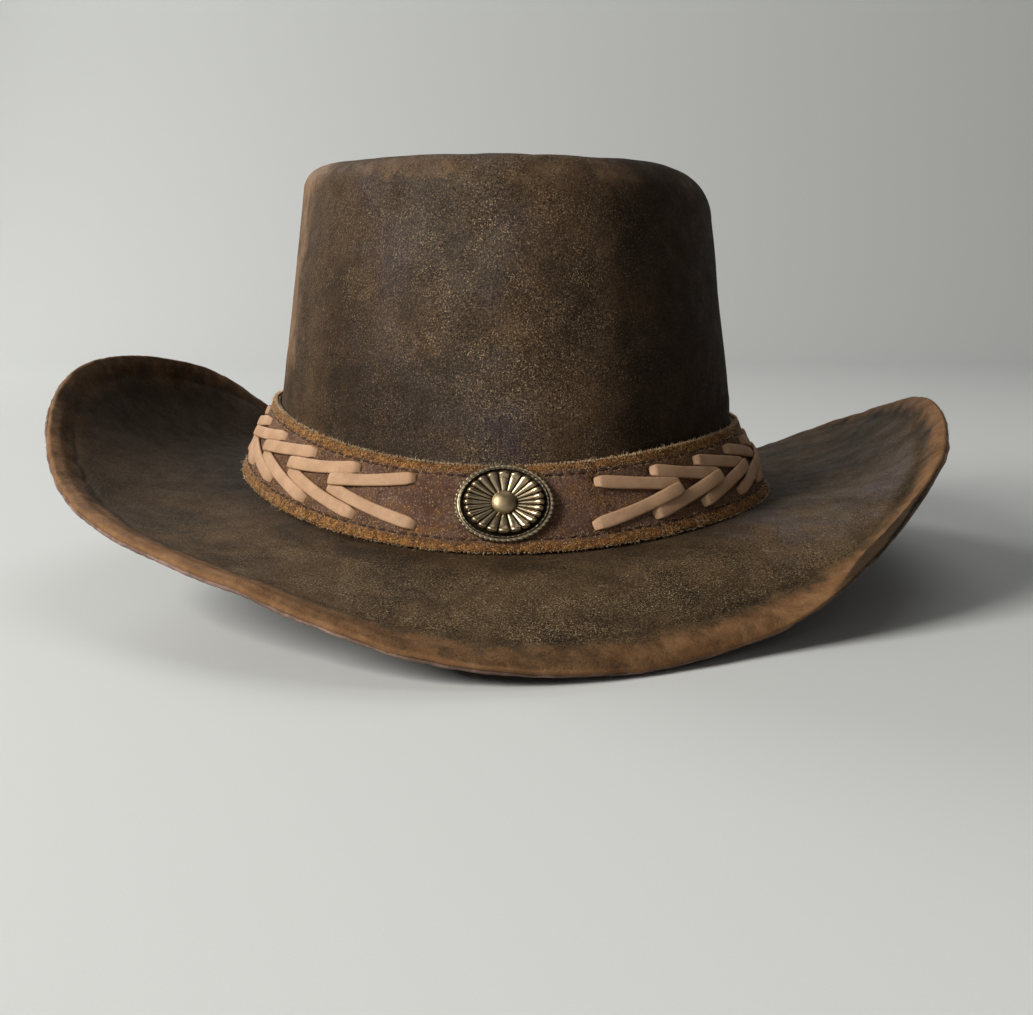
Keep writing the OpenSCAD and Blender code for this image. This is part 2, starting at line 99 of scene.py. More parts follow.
def shoulder(u):
    return (SH_L + SH_R) / 2 + (SH_R - SH_L) / 2 * np.sin(rad(u))


def ring(u, e, z):
    """Points of the crown's oval grown by e, at height z."""
    u, e, z = np.broadcast_arrays(u, e, z)
    return np.stack([(HW + e) * np.sin(rad(u)), -(HL + e) * np.cos(rad(u)), z], -1)


def wall(u, h, off):
    u, h, off = np.broadcast_arrays(np.asarray(u, float), h, off)
    z = foot(u) + h
    return ring(u, flare(h) - lean(z) + off, z)


def slope(u, s):
    w = around(WIDE, u)
    r, t = around(ROOT, u), around(TIP, u)
    return np.where(s <= 0, 0, rad(r + (t - r) * np.clip(s / w, 0, 1) ** CURL))


def outward(u):
    v = np.stack([(HL + FLARE) * np.sin(rad(u)), -(HW + FLARE) * np.cos(rad(u))], -1)
    return v / np.linalg.norm(v, axis=-1, keepdims=True)


def brim_grid(u, S, T):
    """Brim points for stations u (n), distances S (n,m) from the crown's foot and heights T (n,m)
    above the middle surface. S runs outwards along each row."""
    n = len(u)
    P = np.empty(S.shape + (3,))
    steps = 240
    w = around(WIDE, u)[:, None]
    f = np.linspace(0, 1, steps + 1)[None]
    mid = (f[:, 1:] + f[:, :-1]) / 2 * w
    a = slope(u[:, None], mid)
    ds = w / steps
    X = cat([np.zeros((n, 1)), np.cumsum(np.cos(a) * ds, 1)], 1)
    Z = cat([np.zeros((n, 1)), np.cumsum(np.sin(a) * ds, 1)], 1)
    o, c, base = outward(u), ring(u, FLARE, 0.0), foot(u) - UP_T - 0.02
    for i in range(n):
        s, t = S[i], T[i]
        x = np.where(s < 0, s, np.interp(s, f[0] * w[i], X[i]))
        z = np.where(s < 0, 0, np.interp(s, f[0] * w[i], Z[i]))
        q = slope(np.full(s.shape, u[i]), s)
        x, z = x - t * np.sin(q), z + t * np.cos(q)
        P[i, :, 0] = c[i, 0] + x * o[i, 0]
        P[i, :, 1] = c[i, 1] + x * o[i, 1]
        P[i, :, 2] = base[i] + z
    return P


# ---------------------------------------------------------------- noise, meshes
def vnoise(p, seed=0):
    """Smooth value noise in -1..1 at points p (..., 3), one cell per unit."""
    p = np.asarray(p, float) + 1000.0
    i = np.floor(p).astype(np.int64)
    f = p - i
    f = f * f * (3 - 2 * f)

    def h(x, y, z):
        k = (x * 73856093) ^ (y * 19349663) ^ (z * 83492791) ^ (seed * 2654435761)
        k = (k ^ (k >> 13)) * 1274126177 & 0xFFFFFFFF
        k = (k ^ (k >> 16)) & 0xFFFFFF
        return k / 0x7FFFFF - 1.0

    out = 0
    for dx in (0, 1):
        for dy in (0, 1):
            for dz in (0, 1):
                wgt = (f[..., 0] if dx else 1 - f[..., 0]) * (f[..., 1] if dy else 1 - f[..., 1]) * (f[...,
                    2] if dz else 1 - f[..., 2])
                out = out + wgt * h(i[..., 0] + dx, i[..., 1] + dy, i[..., 2] + dz)
    return out


def fbm(p, size, seed=0, octaves=3):
    out, amp = 0, 1.0
    for k in range(octaves):
        out = out + amp * vnoise(np.asarray(p) / size * 2**k, seed + 17 * k)
        amp *= 0.5
    return out


def grid_faces(n, m, wrap_i=True, wrap_j=False, start=0):
    i = np.arange(n if wrap_i else n - 1)
    j = np.arange(m if wrap_j else m - 1)
    I, J = np.meshgrid(i, j, indexing="ij")
    a = I * m + J
    b = ((I + 1) % n) * m + J
    c = ((I + 1) % n) * m + (J + 1) % m
    d = I * m + (J + 1) % m
    return np.stack([a, b, c, d], -1).reshape(-1, 4) + start


def build(name, verts, faces, mat, body, nodes=(), attrs=None, smooth=True):
    """Mesh piece from points in mm. faces is a list of arrays of equal-length faces."""
    verts = np.asarray(verts, float).reshape(-1, 3) / 1000.0
    me = bpy.data.meshes.new(name)
    lists = []
    for f in faces if isinstance(faces, list) else [faces]:
        lists += np.asarray(f).tolist()
    me.from_pydata(verts.tolist(), [], lists)
    me.validate()
    for key, val in (attrs or {}).items():
        at = me.attributes.new(key, "FLOAT", "POINT")
        at.data.foreach_set("value", np.asarray(val, np.float32).ravel())
    me.polygons.foreach_set("use_smooth", [smooth] * len(me.polygons))
    ob = bpy.data.objects.new(name, me)
    scene.collection.objects.link(ob)
    me.materials.append(mat)
    me.update()
    import bmesh
    bm = bmesh.new()
    bm.from_mesh(me)
    bmesh.ops.recalc_face_normals(bm, faces=bm.faces)
    bm.to_mesh(me)
    bm.free()
    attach(ob, body)
    if nodes:
        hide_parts(*nodes)
    return ob


# ---------------------------------------------------------------- materials
class Mat:
    """Small helper for node materials. Coordinates are the object's own, in mm."""

    def __init__(s, name, rough=0.6, metallic=0.0, spec=0.5):
        s.m = bpy.data.materials.new(name)
        s.m.use_nodes = True
        s.nt = s.m.node_tree
        s.b = s.nt.nodes["Principled BSDF"]
        s.b.inputs["Roughness"].default_value = rough
        s.b.inputs["Metallic"].default_value = metallic
        s.b.inputs["Specular IOR Level"].default_value = spec
        tc = s.nt.nodes.new("ShaderNodeTexCoord")
        v = s.nt.nodes.new("ShaderNodeVectorMath")
        v.operation = "SCALE"
        v.inputs["Scale"].default_value = 1000.0
        s.nt.links.new(tc.outputs["Object"], v.inputs[0])
        s.co = v.outputs[0]

    def put(s, sock, val):
        if isinstance(val, (int, float)):
            sock.default_value = val
        elif isinstance(val, tuple):
            sock.default_value = val + (1.0,) if len(val) == 3 and len(sock.default_value) == 4 else val
        else:
            s.nt.links.new(val, sock)

    def stretch(s, x, y, z):
        v = s.nt.nodes.new("ShaderNodeVectorMath")
        v.operation = "MULTIPLY"
        s.nt.links.new(s.co, v.inputs[0])
        v.inputs[1].default_value = (x, y, z)
        return v.outputs[0]

    def noise(s, size, detail=3.0, rough=0.55, co=None, dist=0.0):
        n = s.nt.nodes.new("ShaderNodeTexNoise")
        s.nt.links.new(co or s.co, n.inputs["Vector"])
        n.inputs["Scale"].default_value = 1.0 / size
        n.inputs["Detail"].default_value = detail
        n.inputs["Roughness"].default_value = rough
        n.inputs["Distortion"].default_value = dist
        return n.outputs["Fac"]

    def voro(s, size, feature="F1", co=None, rand=1.0):
        n = s.nt.nodes.new("ShaderNodeTexVoronoi")
        n.feature = feature
        s.nt.links.new(co or s.co, n.inputs["Vector"])
        n.inputs["Scale"].default_value = 1.0 / size
        n.inputs["Randomness"].default_value = rand
        return n.outputs["Distance"]

    def attr(s, name):
        n = s.nt.nodes.new("ShaderNodeAttribute")
        n.attribute_name = name
        return n.outputs["Fac"]

    def math(s, op, a, b=0.0, clamp=False):
        n = s.nt.nodes.new("ShaderNodeMath")
        n.operation = op
        n.use_clamp = clamp
        s.put(n.inputs[0], a)
        s.put(n.inputs[1], b)
        return n.outputs[0]

    def span(s, v, a, b, lo=0.0, hi=1.0):
        n = s.nt.nodes.new("ShaderNodeMapRange")
        n.interpolation_type = "SMOOTHSTEP"
        s.put(n.inputs["Value"], v)
        for k, x in (("From Min", a), ("From Max", b), ("To Min", lo), ("To Max", hi)):
            n.inputs[k].default_value = x
        return n.outputs["Result"]

    def mix(s, fac, a, b, kind="MIX"):
        n = s.nt.nodes.new("ShaderNodeMix")
        n.data_type = "RGBA"
        n.blend_type = kind
        s.put(n.inputs[0], fac)
        s.put(n.inputs[6], a)
        s.put(n.inputs[7], b)
        return n.outputs[2]

    def bump(s, height, dist, strength=1.0, under=None):
        n = s.nt.nodes.new("ShaderNodeBump")
        n.inputs["Distance"].default_value = dist / 1000.0
        n.inputs["Strength"].default_value = strength
        s.nt.links.new(height, n.inputs["Height"])
        if under is not None:
            s.nt.links.new(under, n.inputs["Normal"])
        return n.outputs["Normal"]

    def done(s, color, normal=None, rough=None):
        s.put(s.b.inputs["Base Color"], color)
        if normal is not None:
            s.put(s.b.inputs["Normal"], normal)
        if rough is not None:
            s.put(s.b.inputs["Roughness"], rough)
        return s.m


def hide(name, dark, brown, grey, warm, speck, wear_and_highlight, coarse=1.0, spec=0.14, rough=(0.6, 0.9)):
    """Distressed hide: mottled and grained. Attributes: wear_and_highlight lets tan through, for wear and
    in places as a painted highlight, tone_and_sheen goes from brown to grey, partly as a painted sheen,
    shade darkens, mostly as painted shade, dust sets how thickly light grains lie."""
    k = Mat(name, spec=spec)
    mid_n = k.noise(8, 4, 0.6)
    fine = k.noise(1.3, 3, 0.65)
    grit = k.noise(0.50, 2, 0.7)
    grain = k.noise(0.62, 3, 0.75)
    big = k.noise(30, 4, 0.6, dist=0.5)
    col = k.mix(k.span(big, 0.34, 0.66), dark, brown)
    # grey mixed in with a bluish cast: partly the leather's own grey, partly a painted sheen
    tone_and_sheen = k.math("ADD", k.attr("tone_and_sheen"),
        k.math("MULTIPLY", k.math("SUBTRACT", k.noise(26, 3, 0.55, dist=0.5), 0.5), 1.15))
    grey_and_sheen = k.mix(k.span(k.noise(36, 2, 0.5), 0.40, 0.62), grey,
        (grey[0] * 0.86, grey[1] * 0.86, grey[2] * 1.22))
    grey_and_sheen = k.mix(k.span(big, 0.34, 0.66, 0.45, 0.0), grey_and_sheen, dark)
    col = k.mix(k.span(tone_and_sheen, 0.2, 0.8), col, grey_and_sheen)
    col = k.mix(k.span(k.noise(19, 4, 0.6, dist=0.6), 0.46, 0.74, 0.0, 0.62), col, warm)
    col = k.mix(k.span(mid_n, 0.36, 0.75, 0.0, 0.40), col, dark)
    # the tan mask is wear, and in places a painted highlight
    edge = k.attr("wear_and_highlight")
    torn = k.math("MULTIPLY", k.math("SUBTRACT", k.noise(6.5, 5, 0.66), 0.5), 1.3)
    mask = k.span(k.math("ADD", torn, edge), 0.15, 0.95)
    tan = k.mix(k.span(k.noise(7, 4, 0.62), 0.35, 0.7), wear_and_highlight[0], wear_and_highlight[1])
    tan = k.mix(k.span(k.noise(1.6, 4, 0.7), 0.54, 0.76, 0.0, 0.35), tan, wear_and_highlight[2])
    plain = k.math("SUBTRACT", 1.0, k.math("MULTIPLY", mask, 0.80))
    dust = k.math("MULTIPLY", plain,
        k.math("MULTIPLY", k.attr("dust"), k.span(k.noise(11, 4, 0.6, dist=0.4), 0.34, 0.66, 0.34, 1.0)))
    col = k.mix(mask, col, tan)
    col = k.mix(k.math("MULTIPLY", k.span(grain, 0.32, 0.50, min(0.95, 0.9 * coarse), 0.0), plain), col,
        tuple(c * 0.35 for c in dark))
    col = k.mix(k.math("MULTIPLY", k.span(grain, 0.50, 0.68, 0.0, 0.50), dust), col, speck)
    col = k.mix(k.math("MULTIPLY", k.span(grit, 0.60, 0.66, 0.0, 0.92), dust), col,
        tuple(c * 1.35 for c in speck))
    col = k.mix(k.math("MULTIPLY", k.span(fine, 0.52, 0.75, 0.0, 0.30), plain), col, dark)
    sc = k.noise(1.1, 2, 0.6, co=k.stretch(0.12, 0.4, 1.0))
    col = k.mix(k.math("MULTIPLY", k.span(sc, 0.68, 0.78, 0.0, 0.30), plain), col, speck)
    # painted shade
    col = k.mix(k.attr("shade"), col, tuple(c * 0.30 for c in dark))
    n = k.bump(k.noise(13, 3, 0.5), 0.9, 0.5)
    n = k.bump(fine, 0.34, 0.7, n)
    n = k.bump(k.voro(0.85), 0.14, 0.4, n)
    n = k.bump(grain, 0.16, 0.8, n)
    r = k.span(k.math("ADD", k.math("MULTIPLY", fine, 0.5), k.math("MULTIPLY", mid_n, 0.5)), 0.3, 0.7,
        *rough)
    return k.done(col, n, r)


def suede(name, a, b, dark, grain=0.5):
    k = Mat(name, rough=0.95, spec=0.15)
    col = k.mix(k.span(k.noise(5, 4, 0.6), 0.35, 0.68), a, b)
    col = k.mix(k.span(k.noise(0.5, 3, 0.7), 0.45, 0.75, 0.0, 0.6), col, dark)
    n = k.bump(k.noise(0.45, 3, 0.7), grain, 1.0)
    k.b.inputs["Sheen Weight"].default_value = 0.25
    k.b.inputs["Sheen Roughness"].default_value = 0.5
    return k.done(col, n)


M_CROWN = hide("crown_hide", (0.026, 0.016, 0.009), (0.070, 0.042, 0.023), (0.062, 0.048, 0.038),
    (0.095, 0.054, 0.025),
    (0.32, 0.225, 0.135), ((0.145, 0.084, 0.046), (0.215, 0.135, 0.076), (0.060, 0.034, 0.019)))
M_BRIM = hide("brim_hide", (0.030, 0.018, 0.009), (0.090, 0.055, 0.028), (0.118, 0.093, 0.070),
    (0.115, 0.066, 0.028),
    (0.38, 0.285, 0.165), ((0.165, 0.082, 0.035), (0.245, 0.132, 0.060), (0.095, 0.044, 0.019)),
        coarse=1.05)
M_UNDER = hide("brim_under", (0.030, 0.019, 0.012), (0.058, 0.037, 0.023), (0.060, 0.044, 0.032),
    (0.085, 0.050, 0.026),
    (0.20, 0.14, 0.09), ((0.14, 0.090, 0.068), (0.30, 0.20, 0.16), (0.06, 0.04, 0.03)), coarse=0.6)


def band_face_mat():
    k = Mat("band_hide", spec=0.18)
    raw = k.attr("raw")
    slot_shade = k.attr("slot")
    grit = k.noise(0.60, 3, 0.7)
    dust = k.noise(0.32, 2, 0.7)
    fine = k.noise(1.4, 3, 0.65)
    col = k.mix(k.span(k.noise(12, 4, 0.6, dist=0.5), 0.35, 0.65), (0.078, 0.038, 0.024),
        (0.140, 0.082, 0.060))
    col = k.mix(k.span(k.noise(6, 3, 0.6), 0.46, 0.70, 0, 0.8), col, (0.160, 0.073, 0.027))
    col = k.mix(k.span(grit, 0.56, 0.66, 0, 0.75), col, (0.42, 0.28, 0.16))
    col = k.mix(k.span(grit, 0.32, 0.48, 0.75, 0), col, (0.030, 0.013, 0.007))
    gold = k.mix(k.span(k.noise(2.6, 4, 0.65), 0.36, 0.66), (0.085, 0.034, 0.009), (0.27, 0.118, 0.031))
    gold = k.mix(k.span(grit, 0.53, 0.66, 0, 0.8), gold, (0.60, 0.34, 0.13))
    gold = k.mix(k.span(k.noise(0.85, 3, 0.7), 0.48, 0.62, 0, 0.85), gold, (0.045, 0.018, 0.006))
    gold = k.mix(k.span(dust, 0.62, 0.72, 0, 0.75), gold, (0.78, 0.54, 0.28))
    torn = k.math("MULTIPLY", k.math("SUBTRACT", k.noise(2.2, 5, 0.75), 0.5), 1.9)
    col = k.mix(k.span(k.math("ADD", raw, torn), 0.25, 0.75), col, gold)
    # painted shade inside the lace slots
    col = k.mix(k.span(slot_shade, 0.35, 0.85), col, (0.018, 0.010, 0.008))
    n = k.bump(fine, 0.55, 0.9)
    n = k.bump(grit, 0.38, 1.0, n)
    return k.done(col, n, k.span(fine, 0.3, 0.7, 0.70, 0.95))


M_BAND = band_face_mat()
M_BACKING = suede("backing_suede", (0.26, 0.15, 0.065), (0.34, 0.20, 0.09), (0.12, 0.06, 0.03))
M_FUZZ = suede("raw_fibres", (0.55, 0.35, 0.16), (0.85, 0.66, 0.42), (0.36, 0.20, 0.08), 0.05)


def lace_mat():
    k = Mat("lace_hide", spec=0.3)
    a = k.attr("edge")
    col = k.mix(k.span(k.noise(7, 3, 0.55), 0.35, 0.7), (0.42, 0.255, 0.148), (0.50, 0.315, 0.190))
    col = k.mix(k.span(k.noise(0.9, 4, 0.7), 0.48, 0.75, 0, 0.40), col, (0.30, 0.165, 0.086))
    col = k.mix(k.span(a, 0.55, 1.0, 0.0, 0.55), col, (0.27, 0.145, 0.074))
    pit = k.noise(0.34, 2, 0.6, co=k.stretch(0.45, 1.0, 1.3))
    col = k.mix(k.span(pit, 0.60, 0.70, 0, 0.55), col, (0.20, 0.105, 0.055))
    n = k.bump(k.noise(0.6, 4, 0.7), 0.12, 0.8)
    n = k.bump(pit, 0.08, 0.8, n)
    return k.done(col, n, k.span(k.noise(1.4, 3, 0.6), 0.3, 0.7, 0.55, 0.75))


M_LACE = lace_mat()


def thread_mat(name, a, b):
    k = Mat(name, rough=0.7, spec=0.3)
    tw = k.noise(0.28, 2, 0.6)
    return k.done(k.mix(k.span(tw, 0.35, 0.65), a, b), k.bump(tw, 0.12, 1.0))


M_DARK = thread_mat("dark_thread", (0.022, 0.010, 0.006), (0.060, 0.028, 0.017))
M_TAN = thread_mat("tan_thread", (0.38, 0.26, 0.13), (0.60, 0.45, 0.25))


def metal(name, bright, dark, rough=(0.28, 0.5), use=True):
    k = Mat(name, metallic=1.0, spec=0.5)
    wear = k.noise(1.6, 4, 0.65)
    spots = k.noise(0.35, 3, 0.6)
    col = k.mix(k.span(wear, 0.35, 0.75, 0, 0.5), bright, tuple(c * 0.62 for c in bright))
    if use:
        low = k.attr("deep")
        m = k.span(k.math("ADD", low, k.math("MULTIPLY", k.math("SUBTRACT", spots, 0.5), 0.5)), 0.25, 0.75)
        col = k.mix(m, col, dark)
        r = k.math("ADD", k.span(wear, 0.3, 0.7, rough[0], rough[1]), k.math("MULTIPLY", m, 0.3),
            clamp=True)
    else:
        r = k.span(wear, 0.3, 0.7, rough[0], rough[1])
    return k.done(col, k.bump(spots, 0.03, 0.6, k.bump(wear, 0.05, 0.5)), r)


M_PLATE = metal("antique_plate", (0.40, 0.33, 0.22), (0.030, 0.024, 0.017))
M_ROSE = metal("antique_rosette", (0.50, 0.40, 0.26), (0.022, 0.018, 0.013), (0.25, 0.42))
M_BUTTON = metal("antique_button", (0.42, 0.33, 0.20), (0.05, 0.04, 0.028), (0.36, 0.52))
M_STEEL = metal("drawn_steel", (0.55, 0.55, 0.54), (0.2, 0.2, 0.2), use=False)
M_BRASS = metal("dull_brass", (0.56, 0.42, 0.20), (0.05, 0.035, 0.02), use=False)


def satin():
    k = Mat("lining_satin", rough=0.42, spec=0.4)
    w = k.nt.nodes.new("ShaderNodeTexWave")
    w.bands_direction = "Z"
    w.inputs["Scale"].default_value = 0.9
    w.inputs["Distortion"].default_value = 0.6
    k.nt.links.new(k.co, w.inputs["Vector"])
    weave = k.noise(0.35, 2, 0.6, co=k.stretch(1, 1, 3))
    col = k.mix(k.span(k.noise(18, 3, 0.5), 0.3, 0.7), (0.035, 0.022, 0.016), (0.065, 0.042, 0.030))
    col = k.mix(k.span(weave, 0.4, 0.7, 0, 0.4), col, (0.10, 0.070, 0.052))
    k.b.inputs["Sheen Weight"].default_value = 0.3
    return k.done(col, k.bump(weave, 0.06, 0.8, k.bump(k.noise(12, 3, 0.5), 1.2, 0.5)))


M_LINING = satin()


def sweat():
    k = Mat("sweat_hide", spec=0.4)
    fine = k.noise(0.7, 3, 0.6)
    col = k.mix(k.span(k.noise(16, 4, 0.6), 0.3, 0.7), (0.17, 0.085, 0.042), (0.24, 0.13, 0.068))
    col = k.mix(k.span(fine, 0.5, 0.8, 0, 0.4), col, (0.10, 0.05, 0.026))
    return k.done(col, k.bump(fine, 0.10, 0.7, k.bump(k.voro(0.9), 0.08, 0.6)),
        k.span(fine, 0.3, 0.7, 0.42, 0.62))


M_SWEAT = sweat()


# ---------------------------------------------------------------- helpers for pieces
def normals(P, wrap=True):
    """Normals of a grid of points (n, m, 3)."""
    if wrap:
        di = np.roll(P, -1, 0) - np.roll(P, 1, 0)
    else:
        di = np.gradient(P, axis=0)
    dj = np.gradient(P, axis=1)
    n = np.cross(di, dj)
    return n / np.maximum(np.linalg.norm(n, axis=-1, keepdims=True), 1e-9)


def cap_ends(ob, n, m):
    """Closes the two ends of a strip with one face each."""
    import bmesh
    bm = bmesh.new()
    bm.from_mesh(ob.data)
    bm.verts.ensure_lookup_table()
    for k in (0, (n - 1) * m):
        bm.faces.new([bm.verts[k + j] for j in range(m)])
    bmesh.ops.recalc_face_normals(bm, faces=bm.faces)
    bm.to_mesh(ob.data)
    bm.free()


def lathe(profile, n=64):
    """Points and faces of a turned solid; profile is (r, z) from the axis round to the axis."""
    pr = np.asarray(profile, float)
    a = np.arange(n) / n * 2 * np.pi
    body = pr[1:-1]
    V = np.stack([np.outer(np.cos(a), body[:, 0]), np.outer(np.sin(a), body[:, 0]),
        np.tile(body[:, 1], (n, 1))], -1)
    m = len(body)
    verts = np.vstack([V.reshape(-1, 3), [[0, 0, pr[0, 1]], [0, 0, pr[-1, 1]]]])
    i = np.arange(n)
    t1 = np.stack([i * m, ((i + 1) % n) * m, np.full(n, n * m)], -1)
    t2 = np.stack([i * m + m - 1, ((i + 1) % n) * m + m - 1, np.full(n, n * m + 1)], -1)
    return verts, [grid_faces(n, m), t1, t2]


# ---------------------------------------------------------------- crown
def crown_grid(u, t, dense=True):
    q = 1 if dense else 3
    r = shoulder(u)[:, None]
    f = foot(u)[:, None]
    U = u[:, None]
    parts = [wall(U, np.linspace(0, BAND_H, 16 // q + 2)[None] + 0 * U, -t)]
    z0, z1 = f + BAND_H, CROWN_H - r
    z = z0 + (z1 - z0) * (np.arange(1, 48 // q + 1) / (48 // q))[None]
    parts.append(ring(U, -lean(z) - t, z))
    a = rad(90 * np.arange(1, 16 // q + 1) / (16 // q))[None]
    e = -lean(CROWN_H - r) - t
    parts.append(ring(U, e - (r - t) * (1 - np.cos(a)), CROWN_H - r + (r - t) * np.sin(a)))
    e = -lean(CROWN_H - r) - r
    s = np.linspace(1, 0.02, 26 // q + 1)[1:][None]
    top = np.stack([s * (HW + e) * np.sin(rad(U)), -s * (HL + e) * np.cos(rad(U)),
        CROWN_H - t + DOME * (0.5 + 0.5 * np.cos(np.pi * s)) + 0 * U], -1)
    parts.append(top)
    return cat(parts, 1)


def crown():
    u = np.arange(0, 360, 0.9)
    P = crown_grid(u, 0.0)
    N = normals(P)
    N *= np.sign((N * (P - [0, 0, 50])).sum(-1, keepdims=True))
    h = P[..., 2] - foot(u)[:, None]
    free = smooth01((h - BAND_H - 1) / 12)
    d = 0.55 * fbm(P, 42, 3, 2) + 0.22 * fbm(P, 15, 9, 2) + 0.05 * fbm(P, 3.5, 5, 2)
    P = P + N * (d * free)[..., None]
    Q = crown_grid(u, 2.0, dense=False)
    n, m = P.shape[:2]
    mq = Q.shape[1]
    A = P.reshape(-1, 3)
    B = Q.reshape(-1, 3)
    V = np.vstack([A, B, [[0, 0, CROWN_H + DOME]], [[0, 0, CROWN_H + DOME - 2]]])
    i = np.arange(n)
    j = (i + 1) % n
    o = n * m
    F = [grid_faces(n, m), grid_faces(n, mq, start=o),
        np.stack([i * m, j * m, o + j * mq, o + i * mq], -1),
        np.stack([i * m + m - 1, j * m + m - 1, np.full(n, len(V) - 2)], -1),
        np.stack([o + i * mq + mq - 1, o + j * mq + mq - 1, np.full(n, len(V) - 1)], -1)]
    # lighter along the shoulder, and a little up the left flank: partly wear, partly a painted highlight
    # where the light grazes them
    z = A[:, 2]
    uu = np.repeat(u, m)
    sh = CROWN_H - 0.35 * shoulder(uu)
    wear_and_highlight = 0.62 * np.exp(-((z - sh) / 6.0) ** 2)
    # zones that go by angle fade out toward the middle of the top
    rim = smooth01((np.hypot(A[:, 0] / HW, A[:, 1] / HL) - 0.38) / 0.42)
    side = rim * np.exp(-(turned(uu - 284) / 14.0) ** 2)
    wear_and_highlight = wear_and_highlight + 0.98 * side * smooth01((z - 25) / 30)
    wear_and_highlight = wear_and_highlight * (0.75 + 0.5 * fbm(A, 22, 21, 2))
    wear_and_highlight = cat([wear_and_highlight, np.zeros(len(V) - len(A))])
    w = turned(uu)
    # greyer with a bluish cast towards the front left: partly the leather's own grey, partly a painted
    # sheen
    tone_and_sheen = 0.75 * bell(w, -18, 30) + 0.35 * bell(w, 2, 26) * smooth01((70 - z) / 50) - 0.2
    tone_and_sheen = tone_and_sheen + 0.25 * bell(w, -14, 20) * smooth01((z - 55) / 30)
    dust = 0.40 + 0.75 * bell(w, -2, 32) - 0.30 * smooth01((z - 95) / 20)
    # painted shade on the right side, which faces away from the key light; also darker low on the left
    # front
    shade = 0.55 * smooth01((w - 22) / 16) * smooth01((100 - w) / 30)
    shade = shade + 0.44 * smooth01((-4 - w) / 22) * smooth01((w + 56) / 20) * smooth01((66 - z) / 30)
    tone_and_sheen, dust, shade = 0.1 + (tone_and_sheen - 0.1) * rim, 0.3 + (dust - 0.3) * rim, 0.1 + (shade - 0.1) * rim
    fill = np.zeros(len(V) - len(A))
    extra = {"wear_and_highlight": wear_and_highlight, "tone_and_sheen": cat([tone_and_sheen, fill]), "dust": cat([np.clip(dust, 0.1, 1.1), fill]),
        "shade": cat([np.clip(shade, 0, 0.8), fill])}
    return build("crown", V, F, M_CROWN, "hat", ["crown_shell"], extra)


crown()

# ---------------------------------------------------------------- brim
BRIM_U = np.arange(0, 360, 0.5)


def rim_width(u):
    return 11.0 + 3.2 * np.exp(-(turned(u)[:, None] / 48) ** 2)


def brim_swell(u, S, W):
    """Shared unevenness of both leathers, in mm: soft waves, creases at the rim, and the lip
    that curls up at the front right."""
    R = 120 + 0.6 * np.maximum(S, 0)
    p = np.stack([R * np.sin(rad(u))[:, None], -R * np.cos(rad(u))[:, None], 0 * S], -1)
    d = W - S
    low = 0.8 * fbm(p, 48, 31, 2) + 0.28 * fbm(p, 14, 37, 2)
    crease = 0.17 * vnoise(np.stack([p[..., 0] / 2.1, p[..., 1] / 2.1, d / 14], -1), 41) * bell(d, 4, 7)
    k = bell(turned(u)[:, None], 50, 14, 4)
    lip = k * (5.2 * np.clip((S - W + 10) / 10, 0, 1) ** 2 - 2.0 * smooth01((S - W + 36) / 24))
    return low * smooth01((S - 5) / 25) + crease * smooth01((S - 20) / 20) + lip


